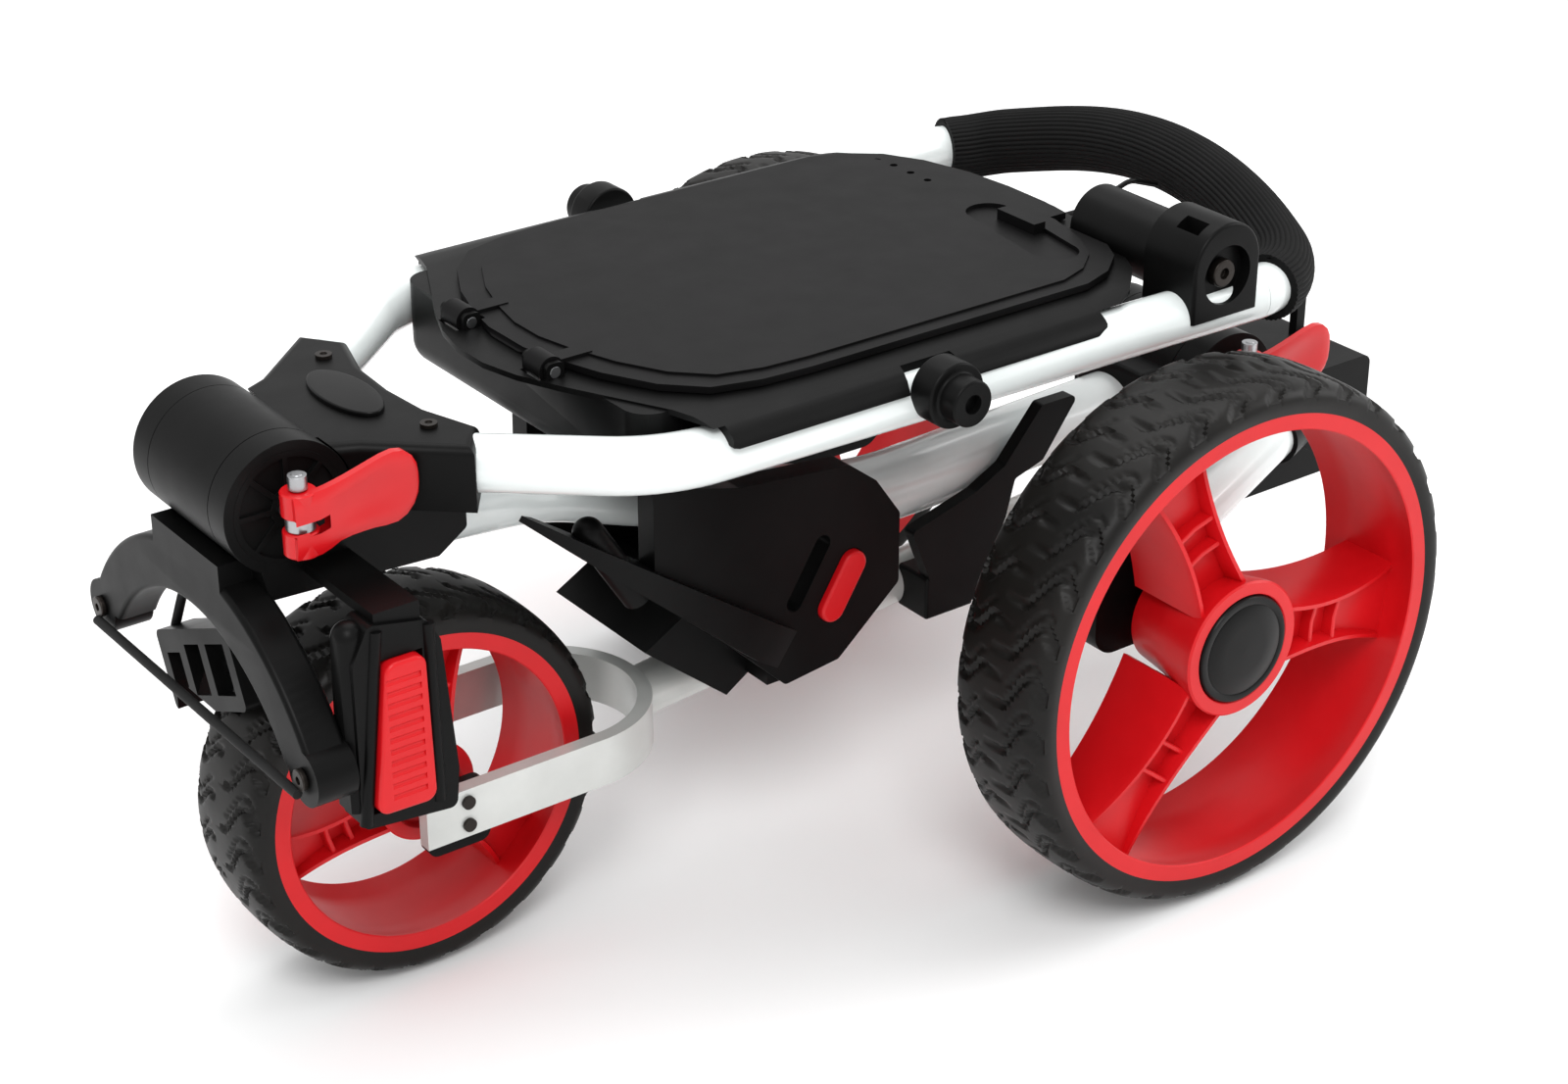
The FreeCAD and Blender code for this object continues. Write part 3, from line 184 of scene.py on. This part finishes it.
def tyre(wheel, blocks):
    """A foam tyre with S-shaped sipes, as many blocks round as given."""
    centre, extent = box_centre(wheel + "_tyre")
    radius, half = extent.z / 2, extent.y / 2
    outline = []
    for drop, inset in ((TYRE_THICK, 1.0), (12.5, 0.2), (9.5, 0.0), (7.2, 0.5), (5.6, 1.6), (4.2, 2.9),
                        (3.2, 4.6), (2.5, 6.2), (2.0, 7.8), (1.6, 9.6), (1.3, 11.4), (1.0, 13.2), (0.7, 15.4),
                        (0.5, 17.4), (0.35, 19.4), (0.2, 21.6), (0.1, 24.0), (0.05, 26.4), (0.0, 28.8)):
        outline.append((radius - drop, -half + inset))
    outline += [(r, -y) for r, y in reversed(outline)]
    around = blocks * 24
    verts = []
    for r, y in outline:
        tread = max(0.0, min(1.0, (r - radius + 7.0) / 2.0))
        side = abs(y) / half
        for j in range(around):
            turn = j / around
            wave = 0.30 * math.sin(2.2 * math.pi * y / half) + 0.30 * side
            phase = (turn * blocks + wave) % 1.0
            sipe = max(0.0, min(1.0, (0.10 - abs(phase - 0.5)) / 0.045))
            inner = max(0.0, min(1.0, (0.07 - abs((phase + 0.32) % 1.0 - 0.5)) / 0.04))
            notch = max(0.0, min(1.0, (0.2 - abs(phase - 0.5)) / 0.05))
            notch *= max(0.0, min(1.0, (side - 0.74) / 0.05))
            depth = tread * max(SIPE_DEPTH * sipe * (side > 0.12), 1.1 * inner * (0.3 < side < 0.86),
                                SHOULDER_STEP * notch)
            angle = 2 * math.pi * turn
            reach = r - depth
            verts.append((centre.x + reach * math.cos(angle), centre.y + y,
                          centre.z + reach * math.sin(angle)))
    faces = loop_faces(len(outline), around, True)
    piece = make_piece(wheel + "_foam_tyre", verts, faces, eva_foam, wheel, [wheel + "_tyre"])
    smooth_by_angle(piece, 38)
    return piece


for wheel_name, block_count in (("right_wheel", 34), ("left_wheel", 34), ("front_wheel", 28)):
    tyre(wheel_name, block_count)

# ------------------------------------------------------------------------ rims
# One-piece wheel moulded in glass-filled nylon, bright red with a satin skin.
# A deep ring carries the tyre; three channel spokes with rib edges reach the hub.
# The skin gives broad soft highlights and stays saturated in the shade.
red_nylon = moulded_finish("moulded_red_nylon", "#bf0b13", "#ca1119", 0.38, 0.05, 0.9, 0.02,
                           Specular_IOR_Level=0.3)


def turned_ring(outline, centre, around=144):
    """Points and faces of a closed outline turned about the axle."""
    verts = []
    for r, y in outline:
        for j in range(around):
            angle = 2 * math.pi * j / around
            verts.append((centre.x + r * math.cos(angle), centre.y + y, centre.z + r * math.sin(angle)))
    return verts, loop_faces(len(outline), around, True)


def curved_wall(path, thick, front, back):
    """A thin upright wall along a path of (x, z), with a rounded front edge."""
    section = [(-0.5, 0.0), (-0.5, 0.92), (-0.3, 0.99), (0.3, 0.99), (0.5, 0.92), (0.5, 0.0)]
    verts, faces = [], []
    count = len(section)
    for i, (x, z) in enumerate(path):
        before, after = path[max(i - 1, 0)], path[min(i + 1, len(path) - 1)]
        run = Vector((after[0] - before[0], after[1] - before[1])).normalized()
        side = Vector((-run.y, run.x))
        for across, deep in section:
            y = back[i] + (front[i] - back[i]) * deep
            verts.append((x + side.x * thick * across, y, z + side.y * thick * across))
    for i in range(len(path) - 1):
        for j in range(count):
            a, b = i * count + j, i * count + (j + 1) % count
            faces.append((a, b, b + count, a + count))
    faces.append(tuple(range(count)))
    faces.append(tuple(reversed(range(len(verts) - count, len(verts)))))
    return verts, faces


def spoke_half_width(share):
    """Half width of a spoke: wide at the hub, slim at its waist, flared outside."""
    return 15.5 - 16.0 * share + 22.5 * share ** 2.2


def rim(wheel, side, first_angle, scale):
    """Ring, hub and three channel spokes as one moulding."""
    centre, extent = box_centre(wheel + "_rim")
    seat, half = extent.z / 2, extent.y / 2
    wall = seat - 5.0
    verts, faces = [], []

    def join(more_verts, more_faces):
        start = len(verts)
        verts.extend(more_verts)
        faces.extend(tuple(start + i for i in face) for face in more_faces)

    ring = [(seat, -half), (seat - 0.6, -half), (seat - 8.2, -half), (seat - 8.9, -half + 0.6),
            (seat - 8.8, -half + 1.6), (wall, -half + 9.0), (wall + 0.4, -half + 20),
            (wall + 0.4, half - 20), (wall, half - 9.0), (seat - 8.8, half - 1.6),
            (seat - 8.9, half - 0.6), (seat - 8.2, half), (seat - 0.6, half), (seat, half)]
    join(*turned_ring(ring, centre))
    hub = 38.0 * scale
    face = side * (half - 4.0)
    boss = [(hub - 1.0, face), (hub, face - side * 1.0), (hub - 0.4, face - side * 5.0),
            (hub * 0.82, -side * 6.0), (hub * 0.76, -side * (half - 8)),
            (6.2, -side * (half - 8)), (6.2, face - side * 4.0),
            (hub - 8.2, face - side * 4.0), (hub - 7.6, face - side * 0.6), (hub - 7.0, face)]
    join(*turned_ring(boss, centre, 96))
    steps = 22
    start_r = hub * 0.84
    for i in range(3):
        turn = math.radians(first_angle + 120.0 * i)
        walls = []
        for edge in (-1, 1):
            path, front, back = [], [], []
            for k in range(steps + 1):
                share = k / steps
                r = start_r + (wall + 1.5 - start_r) * share
                across = edge * spoke_half_width(share) * scale
                path.append((centre.x + r * math.cos(turn) - across * math.sin(turn),
                             centre.z - r * math.sin(turn) - across * math.cos(turn)))
                front.append(centre.y + face - side * (3.0 + 12.0 * share ** 1.6))
                back.append(centre.y - side * (half - 8.0 - 4.0 * share))
            walls.append(path)
            join(*curved_wall(path, 3.6, front, back))
        floor_front = centre.y + face - side * 17.0
        floor_back = floor_front - side * 3.5
        web = []
        for k in range(steps + 1):
            (x0, z0), (x1, z1) = walls[0][k], walls[1][k]
            web += [(x0, floor_front, z0), (x1, floor_front, z1), (x1, floor_back, z1), (x0, floor_back, z0)]
        join(web, loop_faces(steps + 1, 4))
        for share in (0.36, 0.5):
            k = int(share * steps)
            (x0, z0), (x1, z1) = walls[0][k], walls[1][k]
            top = centre.y + face - side * 8.5
            path = [(x0, z0), ((x0 + x1) / 2, (z0 + z1) / 2), (x1, z1)]
            join(*curved_wall(path, 2.6, [top, top - side * 1.5, top], [floor_front] * 3))
    piece = make_piece(wheel + "_red_rim", verts, faces, red_nylon, wheel, [wheel + "_rim"])
    smooth_by_angle(piece, 32)
    return piece


rim("right_wheel", -1, 8.0, 1.0)
rim("left_wheel", 1, 68.0, 1.0)
rim("front_wheel", -1, 45.0, 0.72)

# -------------------------------------------------------------------- hub caps
# Plain black ABS disc snapped into each rear hub, slightly crowned and polished.
# Its turned edge catches a thin line of light inside the red hub ring.
black_abs = moulded_finish("polished_black_abs", "#080808", "#0d0d0d", 0.3, 0.05, 0.8, 0.015,
                           Specular_IOR_Level=0.14)


def hub_cap(wheel, side):
    """Crowned disc with a rounded edge and a shallow ring groove."""
    centre, extent = box_centre(wheel + "_cap")
    outer = side * extent.y / 2
    outline = [(0.01, outer - side * 0.2), (14.0, outer - side * 0.5), (24.6, outer - side * 1.1),
               (25.4, outer - side * 1.6), (26.2, outer - side * 1.1), (29.2, outer - side * 1.5),
               (29.9, outer - side * 2.4),
               (29.9, outer - side * 5.5), (0.01, outer - side * 5.5)]
    verts, faces = turned_ring(outline, centre, 96)
    piece = make_piece(wheel + "_hub_cap", verts, faces, black_abs, wheel, [wheel + "_cap"])
    smooth_by_angle(piece, 40)


hub_cap("right_wheel", -1)
hub_cap("left_wheel", 1)

# -------------------------------------------------------- painted tubes and fork
# Aluminium tubes with gloss white enamel, and a flat fork bar and front tube in
# pale silver.  Sprayed paint gives a faint orange peel and a clear top gloss.
white_enamel = moulded_finish("sprayed_white_enamel", "#d9dfde", "#e3e8e7", 0.2, 0.05, 2.4, 0.012,
                              Coat_Weight=0.6, Coat_Roughness=0.08)
silver_enamel = moulded_finish("sprayed_silver_enamel", "#c3c5c2", "#d0d2cf", 0.3, 0.05, 1.2, 0.012,
                               Metallic=0.25, Coat_Weight=0.4, Coat_Roughness=0.12)


def finish_part(node, material, edge_mm=0.0, angle=35, segments=2, reshape=None):
    """The CAD piece as a finished part: merged mesh, eased edges, own material."""
    source = frame["nodes"][node]
    body = source["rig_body"]
    mesh = source.data.copy()
    mesh.materials.clear()
    mesh.materials.append(material)
    shape = bmesh.new()
    shape.from_mesh(mesh)
    bmesh.ops.remove_doubles(shape, verts=shape.verts, dist=0.02 * MM)
    if reshape:
        for vert in shape.verts:
            vert.co = reshape(vert.co / MM) * MM
    if edge_mm:
        bmesh.ops.dissolve_limit(shape, angle_limit=math.radians(0.6), verts=shape.verts, edges=shape.edges)
    bmesh.ops.recalc_face_normals(shape, faces=shape.faces)
    for face in shape.faces:
        face.smooth = True
        face.material_index = 0
    for edge in shape.edges:
        edge.smooth = edge.calc_face_angle(0.0) < math.radians(angle)
    shape.to_mesh(mesh)
    shape.free()
    part = bpy.data.objects.new(node + "_finished", mesh)
    bpy.context.scene.collection.objects.link(part)
    if edge_mm:
        ease = part.modifiers.new("eased edges", "BEVEL")
        ease.width = edge_mm * MM
        ease.segments = segments
        ease.limit_method = "ANGLE"
        ease.angle_limit = math.radians(angle)
        ease.use_clamp_overlap = True
        ease.harden_normals = True
    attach(part, body)
    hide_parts(node)
    return part


SPINE_ROUTE = [(-295.5, 250.0), (-180.5, 241.0), (14.5, 172.0), (245.5, 180.0)]
SPINE_BENDS = [170.0, 230.0]
SPINE_HALF_WIDE = 22.0
SPINE_HALF_TALL = 19.0


def bent_line(points, radii, steps=14):
    """Points along straight runs joined by tangent arcs, in the x-z plane."""
    line = [Vector((points[0][0], 0, points[0][1]))]
    for i, radius in enumerate(radii):
        before, corner, after = (Vector((x, 0, z)) for x, z in points[i:i + 3])
        run, out = (corner - before).normalized(), (after - corner).normalized()
        turn = run.angle(out)
        side = (out - run * run.dot(out)).normalized()
        start = corner - run * (radius * math.tan(turn / 2))
        for k in range(steps + 1):
            a = turn * k / steps
            line.append(start + run * (radius * math.sin(a)) + side * (radius * (1 - math.cos(a))))
    line.append(Vector((points[-1][0], 0, points[-1][1])))
    return line


def oval_spine():
    """The oval aluminium spine, bent twice."""
    line = bent_line(SPINE_ROUTE, SPINE_BENDS)
    verts, around = [], 64
    for i, point in enumerate(line):
        run = (line[min(i + 1, len(line) - 1)] - line[max(i - 1, 0)]).normalized()
        up = Vector((0, 1, 0)).cross(run)
        for j in range(around):
            a = 2 * math.pi * j / around
            across = Vector((0, SPINE_HALF_WIDE * math.cos(a), 0))
            verts.append(point + across + up * (SPINE_HALF_TALL * math.sin(a)))
    faces = loop_faces(len(line), around)
    faces += [tuple(range(around)), tuple(reversed(range(len(verts) - around, len(verts))))]
    piece = make_piece("oval_spine", verts, faces, white_enamel, "spine", ["spine_tube"])
    smooth_by_angle(piece, 40)


oval_spine()
for node in ("right_leg_tube", "left_leg_tube", "right_side_tube", "left_side_tube", "handle_bow"):
    finish_part(node, white_enamel)
finish_part("fork_bow", silver_enamel, 0.8)
finish_part("front_tube", silver_enamel)

# ------------------------------------------------------------- black mouldings
# Glass-filled nylon castings and mouldings: barrel, yoke, knuckles, cradles and
# buckles.  A spark-eroded mould leaves a fine grain and a soft charcoal sheen.
black_nylon = moulded_finish("moulded_black_nylon", "#070707", "#0c0c0c", 0.4, 0.07, 0.7, 0.03,
                             Specular_IOR_Level=0.1)
for node, edge in (("rear_hub", 4.0), ("spine_knuckle", 0.8), ("barrel_block", 1.5), ("barrel_caps", 0.4),
                   ("yoke", 0.8), ("right_leg_knuckle", 0.8), ("left_leg_knuckle", 0.8),
                   ("right_axle_block", 1.0), ("left_axle_block", 1.0), ("fork_dropouts", 0.6),
                   ("upper_cradle", 2.0), ("lower_buckle", 0.8), ("upper_buckle", 1.6),
                   ("far_buckle", 0.8), ("latch_plate", 0.8), ("accessory_bracket", 0.8), ("side_knobs", 0.5),
                   ("console_tray", 0.9)):
    finish_part(node, black_nylon, edge, 35, 3)
BLADE_FOOT = Vector((-40.5, 0.0, 110.0))
BLADE_RUN = Vector((-0.811, 0.0, 0.585))
BLADE_UP = Vector((0.585, 0.0, 0.811))
BLADE_WHOLE_TO = 70.0
BLADE_LENGTH = 238.0
BLADE_TIP_AT = 13.0


def pointed_blade(place):
    """Thins the cradle's two blades towards a point at their free ends."""
    run = (place - BLADE_FOOT).dot(BLADE_RUN)
    height = (place - BLADE_FOOT).dot(BLADE_UP)
    share = (run - BLADE_WHOLE_TO) / (BLADE_LENGTH - BLADE_WHOLE_TO)
    if share <= 0.0 or not -6.5 < height < 16.5:
        return place
    return place + BLADE_UP * ((BLADE_TIP_AT - height) * min(share, 1.0) * 0.86)


finish_part("lower_cradle", black_nylon, 1.2, 35, 3, pointed_blade)
finish_part("yoke_badge", black_abs, 0.3)

# ------------------------------------------------------------------ console lid
# Matt lid over the score-card tray, moulded in one piece with a raised panel.
# The mould's leather-like grain breaks the light into a dull, even black.
grained_lid = moulded_finish("grained_black_lid", "#080808", "#0d0c0d", 0.46, 0.05, 1.1, 0.05,
                             Specular_IOR_Level=0.1)
finish_part("console_lid", grained_lid, 1.2, 35, 3)

# ------------------------------------------------------------------- foam grip
# EVA foam sleeve with fine ribs along its whole length, pushed over the bow.
# It is open-celled and dull, so it shows only soft light on the ribs.
grip_foam = moulded_finish("ribbed_grip_foam", "#0b0b0b", "#101010", 0.66, 0.06, 0.5, 0.03,
                           Specular_IOR_Level=0.12)
RIBS = 42
RIB_DEPTH = 0.75
GRIP_RADIUS = 18.75
BOW_Z = 299.0
BOW_START_X = 72.4
BOW_SIDE_Y = 136.0
BOW_CORNER_R = 48.4
BOW_CORNER_TURN = math.radians(61.5)
BOW_MIDDLE_X = 142.6
BEND_FROM_X = 91.6
BEND_R = 45.7
AXLE_X = box_centre("right_wheel_tyre")[0].x


def lifted(x, y):
    """A plan point of the bow after the whole bow is bent upward."""
    past = max(0.0, x - BEND_FROM_X) / BEND_R
    straight = min(x, BEND_FROM_X)
    return Vector((AXLE_X + straight + BEND_R * math.sin(past), y, BOW_Z + BEND_R * (1 - math.cos(past))))


def bow_points():
    """Centre line of the bow between the ends of the foam, right to left."""
    corner_y = BOW_SIDE_Y - BOW_CORNER_R
    end_x = BOW_START_X + BOW_CORNER_R * math.sin(BOW_CORNER_TURN)
    end_y = corner_y + BOW_CORNER_R * math.cos(BOW_CORNER_TURN)
    half = []
    for i in range(14):
        y = end_y * i / 14
        half.append(lifted(BOW_MIDDLE_X - (BOW_MIDDLE_X - end_x) * (y / end_y) ** 2, y))
    for i in range(19):
        angle = BOW_CORNER_TURN * (1 - i / 18 * 0.76)
        half.append(lifted(BOW_START_X + BOW_CORNER_R * math.sin(angle),
                           corner_y + BOW_CORNER_R * math.cos(angle)))
    right = [Vector((p.x, -p.y, p.z)) for p in reversed(half[1:])]
    return right + half


def smoothed_line(points, rounds, spacing):
    """The line with its kinks eased and its points spread evenly."""
    for _ in range(rounds):
        inner = [(a + b * 2 + c) / 4 for a, b, c in zip(points, points[1:], points[2:])]
        points = [points[0]] + inner + [points[-1]]
    total = sum((b - a).length for a, b in zip(points, points[1:]))
    count = max(2, round(total / spacing))
    even, target, walked = [points[0]], total / count, 0.0
    for a, b in zip(points, points[1:]):
        step = (b - a).length
        while walked + step >= target * len(even) - 1e-9 and len(even) < count:
            even.append(a.lerp(b, (target * len(even) - walked) / step))
        walked += step
    return even + [points[-1]]


def swept_sleeve(line, radius_at, around):
    """Rings of points carried along a line without twist."""
    up = Vector((0, 0, 1))
    verts = []
    for i, point in enumerate(line):
        run = (line[min(i + 1, len(line) - 1)] - line[max(i - 1, 0)]).normalized()
        side = run.cross(up).normalized()
        up = side.cross(run).normalized()
        for j in range(around):
            angle = 2 * math.pi * j / around
            reach = radius_at(i, j)
            verts.append(point + side * (reach * math.cos(angle)) + up * (reach * math.sin(angle)))
    return verts


def foam_sleeve():
    """The ribbed sleeve with rounded ends that close on the tube."""
    line = smoothed_line(bow_points(), 2, 3.2)
    line = [line[0]] * 3 + line + [line[-1]] * 3
    last = len(line) - 1

    def radius_at(i, j):
        end = min(i, last - i)
        if end < 3:
            return (14.0, 16.2, 17.8)[end]
        rib = (0.5 + 0.5 * math.cos(2 * math.pi * (j % 6) / 6)) ** 0.6
        return GRIP_RADIUS - RIB_DEPTH + RIB_DEPTH * rib - (0.3 if end < 5 else 0.0)

    around = RIBS * 6
    run = (line[4] - line[3]).normalized()
    back = (line[-5] - line[-4]).normalized()
    for k, off in ((0, 0.0), (1, 0.3), (2, 1.2)):
        line[k] = line[k] + run * off
        line[last - k] = line[last - k] + back * off
    verts = swept_sleeve(line, radius_at, around)
    piece = make_piece("ribbed_foam_sleeve", verts, loop_faces(len(line), around), grip_foam, "handle",
                       ["foam_grip"])
    smooth_by_angle(piece, 70)


foam_sleeve()

# ------------------------------------------------------------------ cam levers
# Die-cast clamp levers with a red lacquer: two round ears on an upright pin and
# a spoon-shaped paddle whose outer face is dished for the thumb.
red_lacquer = moulded_finish("lacquered_red_lever", "#bd0a12", "#c81119", 0.3, 0.05, 1.4, 0.02,
                             Specular_IOR_Level=0.4)
LEVER_OUTLINE = [(-6.5, -15.4, 15.4), (0, -15.8, 15.8), (6, -15.6, 16.0), (11, -14.0, 16.6),
                 (16, -11.6, 17.6), (22, -10.6, 19.0), (28, -10.3, 20.6), (34, -10.3, 22.3),
                 (40, -10.8, 23.9), (46, -10.6, 24.8), (51, -8.3, 23.8), (55, -4.0, 20.4),
                 (57.3, 1.0, 16.0), (58, 6.0, 11.0)]


def cam_lever(node, body, pin):
    """Dished paddle fused to two drilled ears."""
    across = 14
    verts, faces = [], []
    inner_y = -2.6
    for layer in (0, 1):
        for i, (x, low, high) in enumerate(LEVER_OUTLINE):
            for j in range(across + 1):
                share = j / across
                z = low + (high - low) * share
                edge = min(1.0, 4.2 * min(share, 1 - share) + 0.12)
                tip = min(1.0, (58.6 - x) / 7.0)
                round_off = 1.6 * (1 - min(edge, tip)) ** 2
                dish = 2.6 * max(0.0, math.sin(math.pi * share)) ** 1.4 * max(0.0, math.sin(
                    math.pi * min(1.0, max(0.0, (x - 10) / 46)))) ** 0.8
                y = -8.6 + round_off + dish if layer == 0 else inner_y - round_off * 0.6
                verts.append((pin.x + x, pin.y + y, pin.z + z))
    row = across + 1
    layer_size = row * len(LEVER_OUTLINE)
    for i in range(len(LEVER_OUTLINE) - 1):
        for j in range(across):
            a = i * row + j
            faces.append((a, a + 1, a + 1 + row, a + row))
            b = a + layer_size
            faces.append((b + row, b + row + 1, b + 1, b))
    border = [j for j in range(row)]
    border += [i * row + across for i in range(1, len(LEVER_OUTLINE))]
    border += [(len(LEVER_OUTLINE) - 1) * row + j for j in range(across - 1, -1, -1)]
    border += [i * row for i in range(len(LEVER_OUTLINE) - 2, 0, -1)]
    for a, b in zip(border, border[1:] + border[:1]):
        faces.append((b, a, a + layer_size, b + layer_size))
    keep = []
    for face in faces:
        middle = sum((Vector(verts[i]) for i in face), Vector()) / len(face)
        gap = abs(middle.z - pin.z) < 3.3 and middle.x - pin.x < 9.0
        if not gap:
            keep.append(face)
    for low, high in ((3.6, 15.9), (-15.9, -3.6)):
        start = len(verts)
        rings = [(2.55, low), (8.0, low), (8.6, low + 0.6), (8.6, high - 0.6), (8.0, high), (2.55, high)]
        for r, z in rings:
            for j in range(40):
                angle = 2 * math.pi * j / 40
                verts.append((pin.x + r * math.cos(angle), pin.y + r * math.sin(angle), pin.z + z))
        keep += [tuple(start + i for i in face) for face in loop_faces(len(rings), 40, True)]
    piece = make_piece(node + "_paddle", verts, keep, red_lacquer, body, [node])
    smooth_by_angle(piece, 40)


def lever_pin_place(node):
    """The lever's pin axis, from the pin node's box."""
    centre, _ = box_centre(node)
    return Vector((centre.x, centre.y, centre.z - 3.0))


cam_lever("fold_lever", "fold_lever", lever_pin_place("fold_lever_pin"))
cam_lever("hub_lever", "hub_lever", lever_pin_place("hub_lever_pin"))

# --------------------------------------------------------------- press buttons
# Red nylon release buttons on the strap buckles, with moulded finger grooves.
finish_part("upper_button", red_nylon, 0.5, 45)
finish_part("lower_button", red_nylon, 0.5, 45)

# --------------------------------------------------------- pins, axles and screws
# Zinc-plated steel pins and axles, and blackened steel screws with a dull glint.
zinc_steel = moulded_finish("zinc_plated_steel", "#9a9b9d", "#b4b5b7", 0.34, 0.06, 0.6, 0.01, Metallic=1.0)
black_oxide = moulded_finish("black_oxide_steel", "#25211e", "#322d2a", 0.38, 0.06, 0.6, 0.01, Metallic=0.8)
for node in ("front_axle", "right_axle", "left_axle", "hub_pin", "leg_pin", "barrel_pin", "lid_hinge_pins",
             "hub_lever_pin", "hub_pull_rod", "fold_pull_rod", "fold_lever_pin"):
    finish_part(node, zinc_steel, 0.3)
for node in ("fork_screws", "yoke_screws", "cradle_screws", "bracket_screw"):
    finish_part(node, black_oxide, 0.2)

# ------------------------------------------------------------ cords and cable
# Elastic shock cord in a woven black sheath, and a thin coated brake-type cable.
# The weave runs round the cord at about one millimetre to a strand.
woven_cord = moulded_finish("woven_elastic_cord", "#0f0f0f", "#1b1b1b", 0.7, 0.08, 1.0, 0.12,
                            Specular_IOR_Level=0.25)
finish_part("arm_cord", woven_cord)
finish_part("buckle_cord", woven_cord)
finish_part("grip_cable", black_abs)

# ------------------------------------------------------- floor, light and camera
# A pale seamless floor under a bright soft studio, seen from the right front.
material, tree, shader, place = new_material("seamless_paper")
tone = add_node(tree, "ShaderNodeTexNoise", None, {"Scale": 0.8, "Detail": 2.0}, {"Vector": place})
shade = add_node(tree, "ShaderNodeMix", {"data_type": "RGBA"},
                 {6: hex_colour("#f4f4f4"), 7: hex_colour("#fafafa")}, {0: tone.outputs["Fac"]})
tree.links.new(shade.outputs[2], shader.inputs["Base Color"])
shader.inputs["Roughness"].default_value = 0.9
floor_mesh = bpy.data.meshes.new("floor")
FLOOR_REACH = 30.0
floor_mesh.from_pydata([(-FLOOR_REACH, -FLOOR_REACH, 0), (FLOOR_REACH, -FLOOR_REACH, 0),
                        (FLOOR_REACH, FLOOR_REACH, 0), (-FLOOR_REACH, FLOOR_REACH, 0)], [],
                       [(0, 1, 2, 3)])
floor_mesh.materials.append(material)
floor = bpy.data.objects.new("floor", floor_mesh)
bpy.context.scene.collection.objects.link(floor)

world = bpy.context.scene.world or bpy.data.worlds.new("studio")
bpy.context.scene.world = world
world.use_nodes = True
world.node_tree.nodes["Background"].inputs["Color"].default_value = (1.0, 1.0, 1.0, 1.0)
world.node_tree.nodes["Background"].inputs["Strength"].default_value = 0.9


def soft_light(name, place, target, size, power):
    """A square soft box aimed at a point."""
    data = bpy.data.lights.new(name, "AREA")
    data.size = size
    data.energy = power
    light = bpy.data.objects.new(name, data)
    bpy.context.scene.collection.objects.link(light)
    aim = (Vector(target) - Vector(place)).to_track_quat("-Z", "Y")
    light.matrix_world = Matrix.Translation(place) @ aim.to_matrix().to_4x4()


soft_light("key", (-1.2, -1.6, 2.4), (0, 0, 0.2), 1.2, 42.0)
soft_light("top", (0.4, 0.6, 2.6), (0, 0, 0.2), 2.0, 30.0)
soft_light("rim", (1.8, -0.8, 1.2), (0, 0, 0.2), 1.0, 12.0)

bpy.context.scene.view_settings.view_transform = "Standard"
camera_data = bpy.data.cameras.new("camera")
camera_data.lens = 70.24
camera_data.sensor_width = 36.0
camera = bpy.data.objects.new("camera", camera_data)
bpy.context.scene.collection.objects.link(camera)
CAMERA_PLACE = (-0.906, -1.1867, 0.9095)
AZIMUTH = math.radians(-36.64)
ELEVATION = math.radians(26.89)
back = Vector((math.sin(AZIMUTH) * math.cos(ELEVATION), -math.cos(AZIMUTH) * math.cos(ELEVATION),
               math.sin(ELEVATION)))
turn = back.to_track_quat("Z", "Y").to_matrix().to_4x4()
camera.matrix_world = Matrix.Translation(CAMERA_PLACE) @ turn
bpy.context.scene.camera = camera

bpy.context.view_layer.update()
